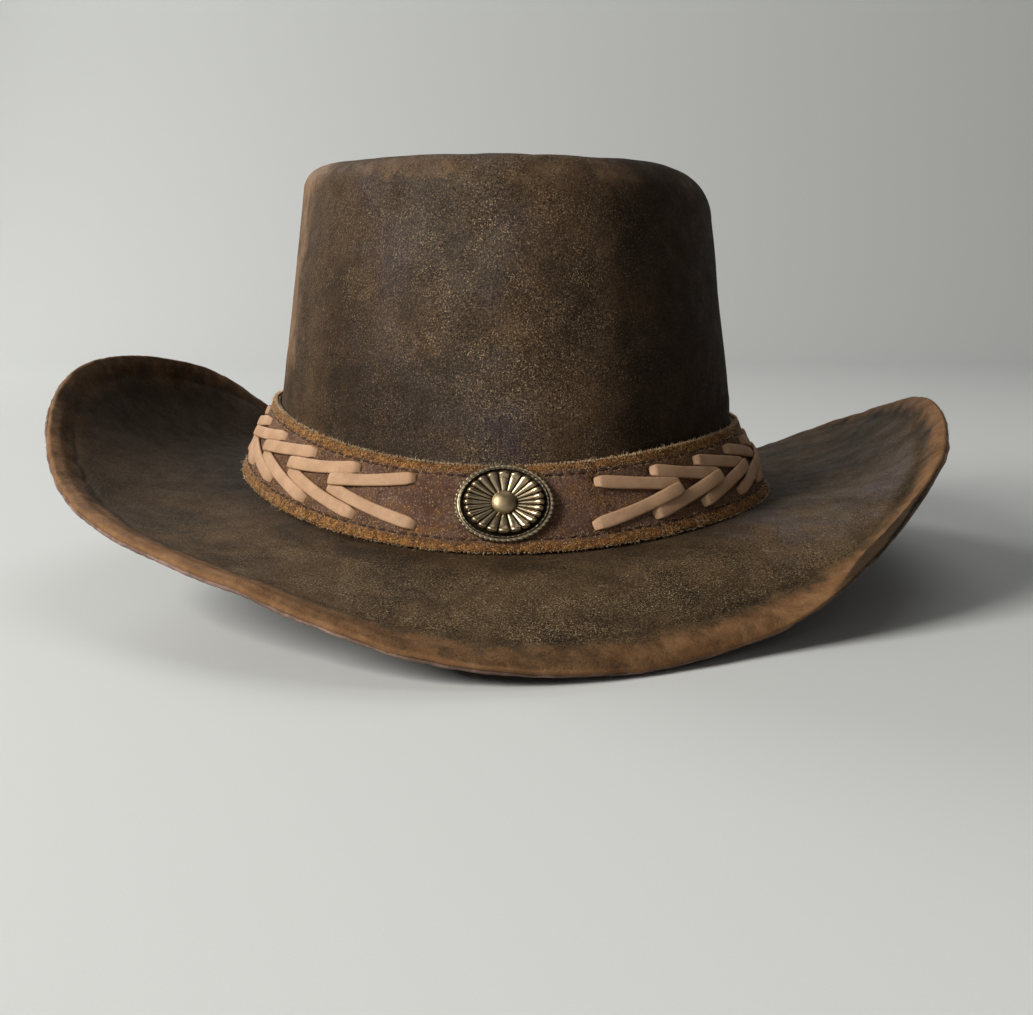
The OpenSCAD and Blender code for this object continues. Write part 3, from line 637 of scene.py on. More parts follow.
def brim_ply(name, side, mat, nodes):
    u = BRIM_U
    a = turned(u)[:, None]
    W0 = around(WIDE, u)[:, None]
    ring_p = oval(u, 150, 150)
    W = W0 + (0.35 * fbm(ring_p, 9, 51 + side, 3) + 0.12 * fbm(ring_p, 1.6, 61 + side, 2))[:,
        None] - (0.15 if side < 0 else 0)
    f1 = np.linspace(-15.7, 0, 6)[None] + 0 * W
    f2 = (W - 18) * np.linspace(0, 1, 47)[1:][None]
    f3 = W - 18 + 17.75 * np.linspace(0, 1, 40)[1:][None]
    S = cat([f1, f2, f3], 1)
    P = np.stack([ring_p[:, None, 0] / 150 * (120 + S), ring_p[:, None, 1] / 150 * (120 + S), 0 * S], -1)
    wr = rim_width(u) + 1.1 * fbm(P, 11, 75, 3)
    d = W - S
    thick = UP_T if side > 0 else LOW_T
    bead = 0.85 * bell(d, WIRE_IN, 2.6) - 0.42 * bell(d - wr, -0.8, 1.3) * (side > 0)
    T = 0.02 + thick + bead
    e = np.clip(1 - d / 1.5, 0, 1)
    T = T - (1 - np.sqrt(1 - 0.9 * e * e)) * 1.0
    fold = np.exp(-((S - 6.0 - 0.8 * np.sin(rad(u) * 3)[:, None]) / 0.55) ** 2) * bell(a, -6, 34, 4)
    if side > 0:
        T = T + 0.30 * fold
    T = T + 0.03 * fbm(P, 1.3, 71 + side, 2)
    # cut edge and hidden inner face
    eS = W - np.array([0.05, 0.0, 0.06])[None]
    eT = (0.02 + thick * np.array([0.62, 0.35, 0.1]))[None] + 0 * eS
    eS = eS + 0.14 * fbm(np.stack([ring_p[:, None, 0] + 0 * eS, ring_p[:, None, 1] + 0 * eS, eT * 3], -1),
        0.9, 81, 2)
    b = np.array([0.4, 2.0, 3.0, 4.0, 5.0, 6.0, 7.0, 10.0, 16.0, 40.0])[None]
    bS = cat([W - b, 0 * W - 1, 0 * W - 15.7], 1)
    bT = 0.02 + 0.93 * bell(W - bS, WIRE_IN, 1.1)
    S2 = cat([S, eS, bS], 1)
    T2 = cat([T, eT, bT], 1)
    T2 = side * T2 + brim_swell(u, S2, W0)
    G = brim_grid(u, S2, T2)
    D = W - S2
    pad = S2.shape[1] - S.shape[1]
    wr2 = cat([wr, np.repeat(wr[:, -1:], pad, 1)], 1)
    fold2 = cat([fold, np.zeros((len(u), pad))], 1)
    # the tan rim's strength by angle, partly uneven wear and partly painted light: stronger at the front
    # left and front right, weaker at the front middle, held back by painted shade at the left side
    rim_wear_and_light = 0.62 + 0.24 * np.cos(rad(a - 52)) ** 2 + 0.35 * bell(a, -42, 22)
    rim_wear_and_light = rim_wear_and_light - 0.22 * bell(a, 4, 14) - 0.45 * bell(a, -98, 42)
    rim_wear_and_light = np.clip(rim_wear_and_light, 0.2, 1.1)
    soft = 6.0 + 6.0 * bell(a, 72, 34)
    # the streak along the fold out from the band at the front is painted lighter: partly wear, partly a
    # painted highlight on its ridge
    wear_and_highlight = (smooth01((wr2 + 0.4 * (soft - 6) - D) / soft) * 0.92
        + 0.10 * np.exp(-D / 14)) * rim_wear_and_light + 0.5 * smooth01((0.9 - D) / 0.6) + 0.45 * fold2
    if side < 0:
        wear_and_highlight = 0.75 * smooth01((3.2 - D) / 2.4) * rim_wear_and_light * (1 - 0.9 * bell(a, 50, 20,
            4)) + 0.4 * smooth01((0.9 - D) / 0.6)
    n, m = S2.shape
    inner = smooth01((D - 9) / 8)
    # painted shade in the groove along the inner border of the tan rim, strongest at the front
    groove_shade = 0.24 * bell(D - wr2, -0.3, 1.1) * (0.35 + 0.65 * bell(a, -4, 40))
    # greyer and lighter on the right: partly the leather's own grey, partly a painted sheen where the key
    # light falls
    tone_and_sheen = 0.85 * bell(a, 72, 40) * inner - 0.15 + 0 * S2
    dust = (0.34 + 0.74 * bell(a, 10, 44)) * smooth01((D - 5) / 12) * (0.35
        + 0.65 * smooth01((S2 - 5) / 20))
    # painted shade on the left, where the inside of the brim faces away from the key light; also darker
    # next to the crown, and the groove's painted shade is added
    shade = (0.62 * bell(a, -92, 38, 4) + 0.34 * bell(S2, 4, 9)) * inner + groove_shade
    if side > 0:
        # painted dark outer strip on the lip at the front right, for the darker, shaded underside a curled
        # lip shows: colour only, the lip is not turned over
        lip_underside_shade = bell(a, 48.5, 10.0, 4) * smooth01((7.0 * bell(a, 49, 8.0) - D) / 1.2)
        wear_and_highlight = wear_and_highlight * (1 - 0.95 * lip_underside_shade)
        shade = shade + 0.55 * lip_underside_shade
    extra = {"wear_and_highlight": wear_and_highlight, "tone_and_sheen": tone_and_sheen, "dust": dust, "shade": np.clip(shade, 0, 0.85)}
    return build(name, G, [grid_faces(n, m, wrap_j=True)], mat, "hat", nodes, extra)


def edge_wire():
    """The wire in the brim's edge and the sleeve between its ends."""
    ang = np.arange(12) / 12 * 2 * np.pi
    for name, node, lo, hi, r, k, mat, slot in (
            ("edge_wire", "brim_wire", 182.2, 537.8, 0.80, 300, M_STEEL, "steel_wire"),
            ("edge_sleeve", "wire_sleeve", 179.5, 180.5, 0.76, 7, M_BRASS, "brass")):
        u = np.linspace(lo, hi, k)
        W = around(WIDE, u)[:, None]
        c = brim_grid(u, W - WIRE_IN, brim_swell(u, W - WIRE_IN, W))[:, 0]
        t = np.gradient(c, axis=0)
        t /= np.linalg.norm(t, axis=1, keepdims=True)
        b = np.cross(t, [0, 0, 1.0])
        b /= np.linalg.norm(b, axis=1, keepdims=True)
        n = np.cross(b, t)
        L = c[:, None] + r * (np.cos(ang)[None, :, None] * b[:, None]
            + np.sin(ang)[None, :, None] * n[:, None])
        ob = build(name, L, [grid_faces(k, 12, wrap_i=False, wrap_j=True)], mat, "hat", [node])
        cap_ends(ob, k, 12)


brim_ply("brim_top", 1, M_BRIM, ["brim_upper"])
brim_ply("brim_base", -1, M_UNDER, ["brim_lower"])
edge_wire()

# ---------------------------------------------------------------- hatband
ROW_LOW, ROW_UP = 0.165 * BAND_H, 0.87 * BAND_H
PITCH, REACH, START, ARMS = 13.2, 20.3, 17.5, 10
# side, start share, end share, lift of the far end, node
LACES = [(-1, 0.77, 0.54, 1.35, "lace_left_upper"), (-1, 0.26, 0.48, 0.0, "lace_left_lower"),
    (1, 0.76, 0.54, 0.0, "lace_right_upper"), (1, 0.27, 0.51, 1.35, "lace_right_lower")]
SLOTS = []
for side, v0, v1, lift, _ in LACES:
    for i in range(ARMS):
        a = START + PITCH * i
        SLOTS.append((side * (a - 0.35 + (1.3 if v0 > 0.5 else 0)), v0 - 0.01 * np.sign(v1 - v0)))
        SLOTS.append((side * (a + REACH + 0.2), v1))


def band_u(step, gap=0.12):
    return np.linspace(180 + gap, 540 - gap, int(360 / step))


def band_face():
    u = band_u(0.27)
    cir = oval(u, 105, 118)
    lo = 0.5 + 0.30 * fbm(cir, 5, 91, 3) + 0.16 * fbm(cir, 1.0, 92, 2)
    hi = BAND_H - 0.3 + 0.34 * fbm(cir, 6, 93, 3) + 0.18 * fbm(cir, 1.0, 94, 2)
    lo, hi = np.clip(lo, 0.15, 1.2)[:, None], np.clip(hi, 26.0, 27.6)[:, None]
    f = np.linspace(0, 1, 70)[None]
    H = lo + (hi - lo) * f
    off = FACE_OUT + 0 * H
    ed = np.minimum(H - lo, hi - H)
    off = off - 0.75 * (1 - np.sqrt(1 - np.clip(1 - ed / 0.9, 0, 1) ** 2 * 0.95))
    p = wall(u[:, None], H, FACE_OUT)
    flank = smooth01((np.abs(turned(u)) - 14) / 26)[:, None]
    raw = smooth01(1 - (H - 0.2) / 6.2) + smooth01(1 - (BAND_H - H) / 5.2) + 0.28 * flank
    off = off + 0.10 * fbm(p, 18, 95, 2) + 0.05 * fbm(p, 1.7, 96, 2) + raw * (0.13 * fbm(p, 1.0, 97, 3))
    arc = np.cumsum(np.linalg.norm(np.diff(cir, axis=0, prepend=cir[:1]), axis=1))[:, None]
    for row in (ROW_LOW, ROW_UP):
        pulse = 0.55 + 0.45 * np.cos(2 * np.pi * arc / 4.0)
        off = off - (0.22 + 0.28 * pulse) * np.exp(-((H - row) / 0.62) ** 2)
    # painted shade inside each lace slot
    dark = 0 * H
    for su, sv in SLOTS:
        du = turned(u - su)[:, None] * 1.9
        near = np.abs(du[:, 0]) < 8
        r2 = (du[near] / 1.5) ** 2 + ((H[near] - sv * BAND_H) / 1.9) ** 2
        off[near] -= 0.5 * np.exp(-r2)
        dark[near] = np.maximum(dark[near], np.exp(-r2 * 1.2))
        raw[near] = np.maximum(raw[near], 0.55 * np.exp(-r2 / 4))
    outer = wall(u[:, None], H, off)
    inH = cat([hi - 0.1, (lo + hi) / 2, lo + 0.1], 1)
    inner = wall(u[:, None], inH, FACE_IN + 0 * inH)
    L = cat([outer, inner], 1)
    raw = cat([np.clip(raw, 0, 1.2), np.ones_like(inH)], 1)
    dark = cat([dark, 0 * inH], 1)
    n, m = L.shape[:2]
    F = [grid_faces(n, m, wrap_i=False, wrap_j=True)]
    ob = build("band_front", L, F, M_BAND, "hatband", ["band_face"],
        {"raw": raw, "slot": dark})
    cap_ends(ob, n, m)
    return ob


band_face()


def band_backing():
    u = band_u(1.0)
    cir = oval(u, 105, 118)
    wob = (0.25 * fbm(cir, 4, 99, 3))[:, None]
    hs = cat([1.0 + wob, 9 + 0 * wob, 18 + 0 * wob, 26.3 + wob], 1)
    outer = wall(u[:, None], hs, BACK_OUT)
    inner = wall(u[:, None], hs[:, ::-1], BACK_IN)
    L = cat([outer, inner], 1)
    ob = build("band_back", L, [grid_faces(*L.shape[:2], wrap_i=False, wrap_j=True)], M_BACKING, "hatband",
        ["band_backing"])
    cap_ends(ob, *L.shape[:2])


band_backing()


def surface(u, v, off=FACE_OUT):
    """Point, direction along +u, up and out of the hatband's face."""
    p = wall(u, v * BAND_H, off)
    a = wall(u + 0.2, v * BAND_H, off) - wall(u - 0.2, v * BAND_H, off)
    b = wall(u, v * BAND_H + 0.4, off) - wall(u, v * BAND_H - 0.4, off)
    a = a / np.linalg.norm(a, axis=-1, keepdims=True)
    b = b / np.linalg.norm(b, axis=-1, keepdims=True)
    n = np.cross(a, b)
    return p, a, b, n / np.linalg.norm(n, axis=-1, keepdims=True)


def lace(side, v0, v1, lift, node, seed):
    V, F, E, base = [], [], [], 0
    ang = np.linspace(0, 2 * np.pi, 20, endpoint=False)
    q = np.sign(np.cos(ang)) * np.abs(np.cos(ang)) ** 0.42
    h = 0.5 + 0.5 * np.sign(np.sin(ang)) * np.abs(np.sin(ang)) ** 0.6
    rng = np.random.default_rng(seed)
    for i in range(ARMS):
        near = 1.3 if v0 > 0.5 else 0.0
        a0 = START + PITCH * i + near + rng.normal(0, 0.2)
        jit = rng.normal(0, 0.006, 2)
        t = cat([np.linspace(-0.035, 0.06, 9), np.linspace(0.06, 0.94, 26)[1:-1],
            np.linspace(0.94, 1.035, 9)])
        u = side * (a0 + (REACH - near) * t)
        v = v0 + jit[0] + (v1 + jit[1] - v0 - jit[0]) * t
        v = v + 0.010 * np.sin(np.pi * np.clip(t, 0, 1)) * rng.choice([-1, 1]) * rng.random()
        p, _, _, n = surface(u, v)
        tan = np.gradient(p, axis=0)
        tan /= np.linalg.norm(tan, axis=-1, keepdims=True)
        s = np.cross(n, tan)
        up = 0.12 + lift * smooth01((t - 0.52) / 0.34)
        end = np.minimum(t + 0.035, 1.035 - t) / 0.07
        dip = np.clip(1 - end, 0, 1)
        up = up - (1.5 + (0.9 * lift if lift else 0) * (t > 0.5)) * dip**2
        w = (2.2 + rng.normal(0, 0.05)) * (1 - 0.34 * np.clip(1 - end * 0.62, 0, 1) ** 1.6)
        w = w * (1 + 0.03 * np.sin(t * 9 + i))
        th = 1.2 * (1 - 0.25 * dip)
        bow = 0.10 * (1 - q[None] ** 2)
        pts = p[:, None] + s[:, None] * (q[None] * w[:, None])[..., None] + n[:, None] * (up[:, None]
            + th[:, None] * h[None] + bow * (h[None] > 0.5))[..., None]
        pts = pts + n[:, None] * (0.02 * fbm(pts, 1.6, 7 + i, 2))[..., None]
        k, m = pts.shape[:2]
        V.append(pts.reshape(-1, 3))
        F.append(grid_faces(k, m, wrap_i=False, wrap_j=True, start=base))
        for r in (0, (k - 1) * m):
            c = base + r + np.arange(m)
            half = m // 2
            jj = np.arange(half - 1)
            F.append(np.stack([c[jj], c[jj + 1], c[m - 2 - jj], c[m - 1 - jj]], -1))
        E.append((np.abs(q)[None] ** 3 + 0 * t[:, None]).ravel())
        base += k * m
    build(node.replace("lace", "lacing"), np.vstack(V), F, M_LACE, "hatband", [node],
        {"edge": cat(E)})


for k, (side, v0, v1, lift, node) in enumerate(LACES):
    lace(side, v0, v1, lift, node, 11 + k)


def capsules(name, P, D, N, length, r, mat, body, nodes, squash=0.8, sink=0.0):
    """Row of stitches: thick in the middle, ends turned down into the hide."""
    ang = np.linspace(0, 2 * np.pi, 10, endpoint=False)
    t = np.linspace(-1, 1, 9)
    V, F, base = [], [], 0
    for p, d, n in zip(P, D, N):
        b = np.cross(n, d)
        rr = r * np.sqrt(np.clip(1 - np.abs(t) ** 3.2, 0.02, 1))
        c = p + d * (t * length / 2)[:, None] + n * (-(t**4) * (0.30 + sink))[:, None]
        ringp = c[:, None] + b * (np.cos(ang)[None] * rr[:, None])[...,
            None] + n * (np.sin(ang)[None] * rr[:, None] * squash)[..., None]
        V.append(ringp.reshape(-1, 3))
        F.append(grid_faces(9, 10, wrap_i=False, wrap_j=True, start=base))
        for k in (0, 80):
            c0 = base + k + np.arange(10)
            jj = np.arange(4)
            F.append(np.stack([c0[jj], c0[jj + 1], c0[8 - jj], c0[9 - jj]], -1))
        base += 90
    return build(name, np.vstack(V), F, mat, body, nodes)


def band_row(name, h, node, seed):
    rng = np.random.default_rng(seed)
    us = np.linspace(187, 533, 4000)
    p = wall(us, h, FACE_OUT)
    arc = cat([[0], np.cumsum(np.linalg.norm(np.diff(p, axis=0), axis=1))])
    at = np.arange(2.0, arc[-1], 4.0)
    u = np.interp(at, arc, us)
    p, a, b, n = surface(u, h / BAND_H + 0 * u)
    a = a + b * rng.normal(0, 0.05, (len(u), 1))
    a /= np.linalg.norm(a, axis=-1, keepdims=True)
    capsules(name, p - n * 0.16 + b * rng.normal(0, 0.08, (len(u), 1)), a, n, 3.3, 0.40, M_DARK, "hatband",
        [node])


band_row("band_stitches_low", ROW_LOW, "band_thread_lower", 5)
band_row("band_stitches_up", ROW_UP, "band_thread_upper", 6)


def fibres(name, P, D, length, mat, body, seed, r=0.05):
    """Short bent fibres standing from points P along D."""
    rng = np.random.default_rng(seed)
    k = len(P)
    L = length * np.exp(rng.normal(0, 0.45, k))[:, None]
    bend = rng.normal(0, 0.55, (k, 3))
    side = np.cross(D, bend)
    side /= np.maximum(np.linalg.norm(side, axis=1, keepdims=True), 1e-6)
    up = np.cross(side, D)
    V = np.empty((k, 3, 3, 3))
    for j, (f, rr) in enumerate(((0, 1.0), (0.55, 0.8), (1.0, 0.25))):
        c = P + D * L * f + bend * L * f * f * 0.7
        for s in range(3):
            a = 2 * np.pi * s / 3
            V[:, j, s] = c + (side * np.cos(a) + up * np.sin(a)) * r * rr
    base = np.arange(k)[:, None] * 9
    F = []
    for j in range(2):
        for s in range(3):
            s2 = (s + 1) % 3
            F.append(base + np.array([[j * 3 + s, j * 3 + s2, (j + 1) * 3 + s2, (j + 1) * 3 + s]]))
    F.append(base + np.array([[6, 7, 8]]))
    F.append(base + np.array([[2, 1, 0]]))
    return build(name, V.reshape(-1, 3), [np.vstack(F[:6]), np.vstack(F[6:])], mat, body, ())


def band_fuzz():
    rng = np.random.default_rng(77)
    P, D = [], []
    for top, count in ((1, 9000), (0, 7000)):
        u = rng.uniform(0, 360, count)
        clump = np.round(u / 0.9) * 0.9
        u = np.where(rng.random(count) < 0.65, clump + rng.normal(0, 0.12, count), u)
        v = np.full(count, 0.985 if top else 0.028) + rng.normal(0, 0.006, count)
        off = FACE_IN + 0.2 + rng.random(count) * (FACE_OUT - FACE_IN - 0.3)
        p, a, b, n = surface(u, v)
        p = wall(u, v * BAND_H, off)
        d = b * (1 if top else -0.75) + n * rng.uniform(-0.1, 1.1, (count, 1)) + a * rng.normal(0, 0.7,
            (count, 1))
        P.append(p)
        D.append(d / np.linalg.norm(d, axis=1, keepdims=True))
    # sparse nap on the raw borders
    count = 9000
    u = rng.uniform(0, 360, count)
    v = np.where(rng.random(count) < 0.5, rng.uniform(0.84, 0.985, count), rng.uniform(0.03, 0.20, count))
    p, a, b, n = surface(u, v)
    d = n * 0.6 + a * rng.normal(0, 0.8, (count, 1)) + b * rng.normal(0, 0.8, (count, 1))
    P.append(p - n * 0.1)
    D.append(d / np.linalg.norm(d, axis=1, keepdims=True))
    P, D = np.vstack(P), np.vstack(D)
    # kept clear of the disc that the concho sweeps, apart from a few bent tips
    q = P - CC
    clear = (np.hypot(q @ CX, q @ CY) > 17) | (q @ CZ + np.maximum(D @ CZ, 0) < 0.95)
    first = np.arange(len(P))
    for k, (name, lo, hi) in enumerate((("band_fuzz_up", 0, 9000), ("band_fuzz_low", 9000, 16000),
        ("band_nap", 16000, 25000))):
        w = clear & (first >= lo) & (first < hi)
        fibres(name, P[w], D[w], 0.42, M_FUZZ, "hatband", 78 + 10 * k, 0.06)


def brim_edge_fuzz():
    rng = np.random.default_rng(79)
    count = 3000
    u = rng.uniform(0, 360, count)
    W = around(WIDE, u)[:, None]
    S = cat([W - 0.2, W + 1.0], 1)
    t = rng.uniform(-1.2, 1.2, (count, 1))
    G = brim_grid(u, S, cat([t, t], 1) + brim_swell(u, S, W))
    d = G[:, 1] - G[:, 0]
    d /= np.linalg.norm(d, axis=1, keepdims=True)
    d = d + rng.normal(0, 0.6, (count, 3))
    d /= np.linalg.norm(d, axis=1, keepdims=True)
    return fibres("brim_edge_fibres", G[:, 0], d, 0.30, M_UNDERFUZZ, "hat", 80, 0.04)


M_UNDERFUZZ = suede("edge_fibres", (0.20, 0.14, 0.10), (0.30, 0.22, 0.17), (0.08, 0.05, 0.035), 0.05)
brim_edge_fuzz()

# ---------------------------------------------------------------- lap and rivets at the back
def flat_wall(u, h, off):
    a = np.floor((u - 3) / 6) * 6 + 3
    f = (u - a) / 6
    return (1 - f) * wall(a, h, off) + f * wall(a + 6, h, off)


def lap():
    n, m = 60, 70
    x = np.linspace(-1, 1, n)[:, None]
    y = np.linspace(-1, 1, m)[None]
    # rounded rectangle from the square
    k = 0.16
    X = x * (1 - k * 0.5 * np.abs(y) ** 8 * np.abs(x) ** 2)
    Y = y * (1 - k * 0.35 * np.abs(x) ** 8 * np.abs(y) ** 2)
    U = 180 + 4.5 * X
    V = 0.5 + 0.355 * Y
    edge = np.maximum(np.abs(x), np.abs(y)) + 0 * x * y
    p, a, b, nn = surface(U, V)
    top = FACE_OUT + 1.62 - 0.7 * smooth01((edge - 0.86) / 0.14) ** 2
    for s in (-1, 1):
        rr = ((X * 4.5 * 1.95 - s * 4.2) / 3.2) ** 2 + (Y * 9.6 / 3.2) ** 2
        top = top - 0.22 * np.exp(-rr * 1.4)
    A = wall(U, V * BAND_H, top + 0.05 * fbm(p, 1.6, 131, 2))
    B = wall(U, V * BAND_H, FACE_OUT + 0.15)
    Vt = np.vstack([A.reshape(-1, 3), B.reshape(-1, 3)])
    F = [grid_faces(n, m, wrap_i=False), grid_faces(n, m, wrap_i=False, start=n * m)]
    rim = cat([np.arange(n) * m, (n - 1) * m + np.arange(1, m), (np.arange(n - 1)[::-1]) * m + m - 1,
        np.arange(1, m - 1)[::-1]])
    nx = np.roll(rim, -1)
    F.append(np.stack([rim, nx, nx + n * m, rim + n * m], -1))
    raw = cat([smooth01((edge.ravel() - 0.9) / 0.1) * 0.8, np.ones(n * m)])
    build("band_lap_leather", Vt, F, M_BAND, "hatband", ["band_lap"],
        {"raw": raw, "slot": 0 * raw})


lap()


def basis(u, v, sgn):
    c = flat_wall(u, v * BAND_H, FACE_OUT)
    up = flat_wall(u, v * BAND_H + 1, FACE_OUT) - flat_wall(u, v * BAND_H - 1, FACE_OUT)
    up /= np.linalg.norm(up)
    x = np.array([sgn, 0.0, 0.0])
    return c, x, up, np.cross(x, up)


def placed(V, c, x, y, z):
    return c + V[:, :1] * x + V[:, 1:2] * y + V[:, 2:3] * z


def rivets():
    c, x, y, z = basis(180.0, 0.5, -1)
    prof = [(0, -2.35), (2.35, -2.35), (2.4, -1.8), (1.2, -1.72), (1.2, 1.5), (2.62, 1.52), (2.74, 1.64),
        (2.70, 1.86),
        (2.5, 2.10), (2.15, 2.30), (1.7, 2.46), (1.2, 2.56), (1.0, 2.50), (0.7, 2.42), (0.35, 2.40),
            (0, 2.40)]
    for s, nm in ((4.2, "lap_rivet_left"), (-4.2, "lap_rivet_right")):
        V, F = lathe(prof, 56)
        V = V + [s, 0, 0]
        build("head_" + nm, placed(V, c, x, y, z), F, M_BRASS, "hatband", [nm])


rivets()

# ---------------------------------------------------------------- concho
CC, CX, CY, CZ = basis(0.0, 0.553, 1)
CW, CH = 16.0, 13.0


def concho_grid(rho, height, n=416, wob=None):
    """Polar grid over the oval; rho (m), height(a, rho) in mm."""
    a = np.arange(n) / n * 2 * np.pi
    A, R = np.meshgrid(a, rho, indexing="ij")
    k = R if wob is None else R * wob(A, R)
    Z = height(A, R)
    return np.stack([k * CW * np.cos(A), k * CH * np.sin(A), Z], -1)


def disc(name, rho, height, back_z, mat, node, deep, n=416, wob=None):
    G = concho_grid(rho, height, n, wob)
    m = len(rho)
    a = np.arange(n) / n * 2 * np.pi
    Dp = deep(*np.meshgrid(a, rho, indexing="ij"))
    B = G[:, [-1, 0]].copy()
    B[..., 2] = back_z
    V = np.vstack([G.reshape(-1, 3), B.reshape(-1, 3)])
    o = n * m
    i = np.arange(n)
    j = (i + 1) % n
    F = [grid_faces(n, m), grid_faces(n, 2, start=o),
        np.stack([i * m + m - 1, j * m + m - 1, o + j * 2, o + i * 2], -1),
        np.stack([i * m, j * m, o + j * 2 + 1, o + i * 2 + 1], -1)]
    deepv = cat([Dp.ravel(), np.ones(2 * n)])
    return build(name, placed(V, CC, CX, CY, CZ), F, mat, "concho", [node], {"deep": deepv})


PZ = 1.1


def plate_h(A, R):
    ridge = 0.55 * bell(R, 0.890, 0.018) * (0.82 + 0.18 * np.cos(52 * A))
    bead = 0.13 * (np.abs(np.cos(26 * A)) ** 0.6 - 0.5) * smooth01((R - 0.93) / 0.04)
    moat = -0.35 * smooth01((0.868 - R) / 0.02)
    rim = -0.42 * smooth01((R - 0.968) / 0.032) ** 2
    return PZ + 0.95 + ridge + bead + moat + rim - 0.12 * smooth01((R - 0.91) / 0.03)


def plate_w(A, R):
    return 1 + (0.030 * np.abs(np.cos(26 * A)) ** 0.7 - 0.018) * smooth01((R - 0.90) / 0.1) \
        + 0.003 * np.cos(3 * A + 1)


def plate_deep(A, R):
    d = 0.95 * bell(R, 0.838, 0.030) + 0.9 * (R < 0.82) + 0.55 * bell(R, 0.918, 0.010)
    d = d + 0.50 * (1 - np.abs(np.cos(26 * A)) ** 0.35) * (R > 0.96)
    d = d + 0.25 * (0.5 - 0.5 * np.cos(52 * A)) * (np.abs(R - 0.89) < 0.02)
    return np.clip(d + 0.16 + 0.10 * np.sin(3 * A + 2) + 0.08 * np.sin(7 * A), 0, 1)


disc("concho_base", cat([[0.05], np.linspace(0.6, 0.86, 10), np.linspace(0.864, 1.0, 36)]), plate_h, PZ,
    M_PLATE, "concho_plate", plate_deep, n=640, wob=plate_w)

FL = 24
RZ = PZ + 0.92
R_IN, R_OUT = 0.22, 0.815


def flute(A, t):
    """0 in a valley, up to 1 on a flute's crest; t runs from its inner to its outer end."""
    # evenly spaced along the oval's edge
    B = A + 0.115 * np.sin(2 * A)
    ph = np.abs((B * FL / np.pi + 1) % 2 - 1)
    w = 0.78 + 0.12 * t
    return np.sqrt(np.clip(1 - (ph / w) ** 2, 0, 1))


def flute_t(R):
    return np.clip((R - R_IN) / (R_OUT - R_IN), 0, 1)


def rose_h(A, R):
    t = flute_t(R)
    floor = 0.10 + 1.25 * t**1.2
    amp = (0.22 + 0.70 * t) + 0.22 * bell(t, 0.84, 0.10)
    end = np.sqrt(np.clip(1 - np.clip((t - 0.86) / 0.14, 0, 1) ** 2, 0, 1))
    return RZ + floor * (0.35 + 0.65 * end) + amp * flute(A, t) * end


def rose_w(A, R):
    t = flute_t(R)
    return 1 - 0.055 * smooth01((t - 0.6) / 0.4) * (1 - flute(A, t))


def rose_deep(A, R):
    t = flute_t(R)
    fl = flute(A, t)
    return np.clip(1.10 * (1 - smooth01(fl / 0.62)) + 0.50 * np.exp(-t / 0.14) + 0.14 * (1 - t) - 0.15 * t
        + 0.30 * (0.5 + 0.5 * np.sin(5 * A + 1.3)) * (1 - t)
        + 1.3 * smooth01((t - 0.97) / 0.03), 0, 1)


disc("concho_flutes", cat([[0.05], np.linspace(0.2, 0.70, 34), np.linspace(0.705, R_OUT, 22)]), rose_h, RZ,
    M_ROSE,
    "concho_rosette", rose_deep, n=FL * 28, wob=rose_w)


def button():
    r, z0 = 4.0, RZ + 0.58
    k = np.linspace(0, 1, 22)
    prof = [(0, z0), (r - 0.1, z0),
        (r, z0 + 0.12)] + [(r * np.cos(np.pi / 2 * t), z0 + 0.22
        + 2.1 * np.sin(np.pi / 2 * t)) for t in k[:-1]] + [(0, z0 + 2.32)]
    V, F = lathe(prof, 96)
    deep = 0.9 * np.exp(-np.clip(V[:, 2] - z0, 0, 9) / 0.28)
    build("concho_dome", placed(V, CC, CX, CY, CZ), F, M_BUTTON, "concho", ["concho_button"],
        {"deep": deep})


button()
band_fuzz()
for nm in ("concho_post", "concho_screw"):
    NODES[nm].data.materials.clear()
    NODES[nm].data.materials.append(M_STEEL)

# ---------------------------------------------------------------- lining and sweatband
def lining():
    u = np.arange(0, 360, 1.5)
    U = u[:, None]
    r = shoulder(u)[:, None]

    def rows(off):
        z = foot(U) + 8 + (CROWN_H - r - foot(U) - 8) * np.linspace(0, 1, 30)[None]
        a = rad(75 * np.arange(1, 9) / 8)[None]
        e = -lean(CROWN_H - r) + off
        q = r + off
        return cat([ring(U, -lean(z) + off, z),
            ring(U, e - q * (1 - np.cos(a)), CROWN_H - r + q * np.sin(a))], 1)

    A, B = rows(LIN_IN), rows(LIN_OUT)
    h = np.linspace(0, 1, A.shape[1])[None]
    fold = 0.5 + 0.5 * np.sin(rad(U) * 46 + 2.2 * np.sin(rad(U) * 5))
    deep = (0.5 * fold + 0.4 * fbm(A, 14, 141, 2)) * smooth01((h - 0.3) / 0.4)
    inw = -A / np.linalg.norm(A[..., :2], axis=-1, keepdims=True)
    inw[..., 2] = 0
    A = A + inw * np.clip(deep, 0, 1.2)[..., None]
    L = cat([A, B[:, ::-1]], 1)
    side = build("lining_wall", L, [grid_faces(*L.shape[:2], wrap_j=True)], M_LINING, "hat",
        ["lining_side"])
    e = -lean(CROWN_H - r) + LIN_IN - 0.4
    q = e - (r + LIN_IN) * (1 - np.cos(rad(75)))
    z = CROWN_H - r + (r + LIN_IN) * np.sin(rad(75))
    s = np.linspace(1, 0.02, 24)[None]
    zz = (z - 0.3) * s**4 + (CROWN_H - 1.7) * (1 - s**4)
    T = np.stack([s * (HW + q) * np.sin(rad(U)), -s * (HL + q) * np.cos(rad(U)),
        zz - 0.25 * np.abs(fbm(np.stack([s * 80 * np.sin(rad(U)), s * 90 * np.cos(rad(U)), 0 * s * U], -1),
        16, 151, 2))], -1)
    T2 = T[:, ::-1].copy()
    T2[..., 2] += -0.5
    L = cat([T, T2], 1)
    tip = build("lining_top", L, [grid_faces(*L.shape[:2], wrap_j=True)], M_LINING, "hat", ["lining_tip"])


lining()


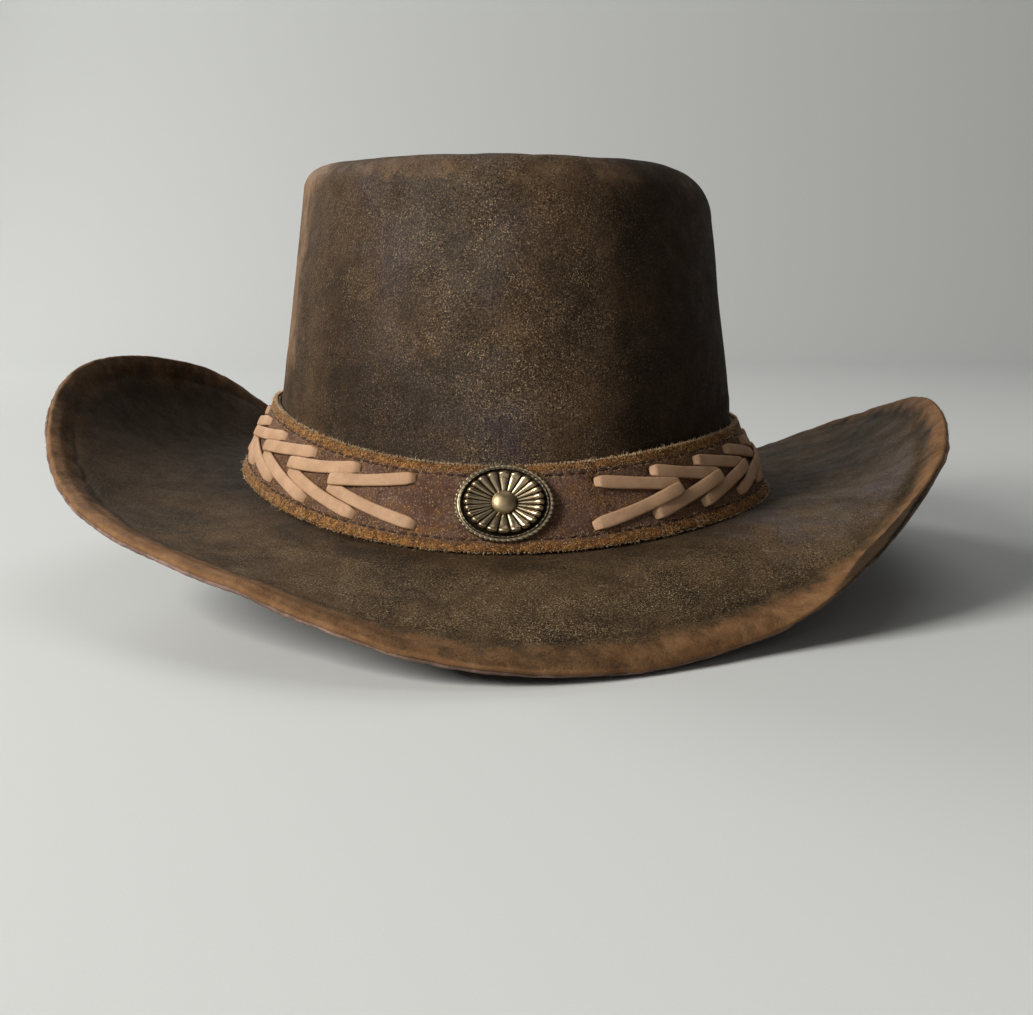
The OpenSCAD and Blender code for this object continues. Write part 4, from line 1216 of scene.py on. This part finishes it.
def sweatband():
    u = band_u(1.0)
    U = u[:, None]
    z0 = foot(U) - 3.44
    k = np.linspace(0, 1, 22)[None]
    z = z0 + 38 * k
    roll = 0.35 * smooth01((k - 0.9) / 0.1)
    wav = 0.18 * fbm(ring(U, 0, z), 26, 161, 2)
    inner = ring(U, -lean(z) + SWEAT_OUT - SWEAT_T + roll + wav * (1 - roll), z)
    outer = ring(U, -lean(z) + SWEAT_OUT - roll + 0 * wav, z)[:, ::-1]
    L = cat([inner, outer], 1)
    ob = build("sweatband_leather", L, [grid_faces(*L.shape[:2], wrap_i=False, wrap_j=True)], M_SWEAT,
        "hat", ["sweatband"])
    cap_ends(ob, *L.shape[:2])
    us = np.linspace(184, 536, 4000)
    p = ring(us, SWEAT_OUT - SWEAT_T, foot(us) + 3)
    arc = cat([[0], np.cumsum(np.linalg.norm(np.diff(p, axis=0), axis=1))])
    s = np.interp(np.arange(2, arc[-1], 4.6), arc, us)

    def on_band(q):
        return ring(q, SWEAT_OUT - SWEAT_T, foot(q) + 3)

    p = on_band(s)
    d = on_band(s + 0.2) - on_band(s - 0.2)
    d /= np.linalg.norm(d, axis=1, keepdims=True)
    n = np.stack([-d[:, 1], d[:, 0], 0 * d[:, 0]], -1)
    capsules("sweatband_stitches", p + n * 0.12, d, n, 3.4, 0.36, M_TAN, "hat", ["sweatband_thread"])


sweatband()


def seam():
    us = np.linspace(0, 360, 4000)
    G = brim_grid(us, np.full((4000, 1), -3.0), np.full((4000, 1), -LOW_T - 0.02))[:, 0]
    arc = cat([[0], np.cumsum(np.linalg.norm(np.diff(G, axis=0), axis=1))])
    s = np.interp(np.arange(2.5, arc[-1] - 2, 5.0), arc, us)
    one = np.ones((len(s), 1))

    def on_seam(q):
        return brim_grid(q, -3 * one, (-LOW_T - 0.1) * one)[:, 0]

    p = on_seam(s)
    d = on_seam(s + 0.2) - on_seam(s - 0.2)
    d /= np.linalg.norm(d, axis=1, keepdims=True)
    n = np.tile([0, 0, -1.0], (len(s), 1))
    capsules("crown_seam_stitches", p, d, n, 3.6, 0.40, M_DARK, "hat", ["crown_seam_thread"])


seam()

# ---------------------------------------------------------------- floor, lights, camera
FLOOR_Z = -37.7               # just under the brim's lowest point, mm


def stage():
    k = Mat("floor_plain", rough=0.9, spec=0.1)
    m = k.done(k.mix(k.noise(0.8, 2, 0.5), (0.61, 0.635, 0.64), (0.64, 0.665, 0.67)))
    y = cat([np.linspace(-3000, 1300, 12), 1300 + 500 * np.sin(np.linspace(0.1, np.pi / 2, 14)),
        [1800, 1800]])
    z = cat([np.zeros(12), 500 - 500 * np.cos(np.linspace(0.1, np.pi / 2, 14)), [1400, 3200]])
    x = np.linspace(-3500, 3500, 3)
    P = np.stack([np.repeat(x, len(y)), np.tile(y, 3), np.tile(z, 3) + FLOOR_Z], -1) / 1000
    me = bpy.data.meshes.new("floor")
    me.from_pydata(P.tolist(), [], grid_faces(3, len(y), wrap_i=False).tolist())
    me.polygons.foreach_set("use_smooth", [True] * len(me.polygons))
    ob = bpy.data.objects.new("floor", me)
    scene.collection.objects.link(ob)
    me.materials.append(m)


stage()


def area(name, loc, target, size, power, color=(1, 1, 1)):
    d = bpy.data.lights.new(name, "AREA")
    d.shape = "RECTANGLE"
    d.size, d.size_y = size
    d.energy = power
    d.color = color
    o = bpy.data.objects.new(name, d)
    o.location = loc
    o.rotation_euler = (Vector(target) - Vector(loc)).to_track_quat("-Z", "Y").to_euler()
    scene.collection.objects.link(o)


area("key", (-1.40, -1.02, 0.98), (0, 0, 0.03), (0.8, 0.8), 46, (1.0, 0.96, 0.90))
area("front", (-0.1, -1.9, 0.8), (0, 0, 0.0), (1.0, 0.7), 2.0, (1.0, 0.97, 0.93))
area("back_left", (-1.1, 1.3, 1.0), (0, 0, 0.08), (0.7, 0.7), 12, (1.0, 0.97, 0.93))
area("top", (0.2, 0.4, 1.8), (0, 0, 0), (1.2, 1.2), 5, (1.0, 0.98, 0.95))

w = bpy.data.worlds.new("studio")
scene.world = w
w.use_nodes = True
w.node_tree.nodes["Background"].inputs[0].default_value = (0.86, 0.80, 0.72, 1)
w.node_tree.nodes["Background"].inputs[1].default_value = 0.075

cam = bpy.data.cameras.new("camera")
cam.sensor_width = 36.0
cam.sensor_fit = "HORIZONTAL"
cam.lens = 52.94
cam.clip_start, cam.clip_end = 0.02, 50
co = bpy.data.objects.new("camera", cam)
co.location = (0.004, -0.6002, 0.0788)
co.rotation_euler = (rad(90 - 8.89), 0, 0)
scene.collection.objects.link(co)
scene.camera = co
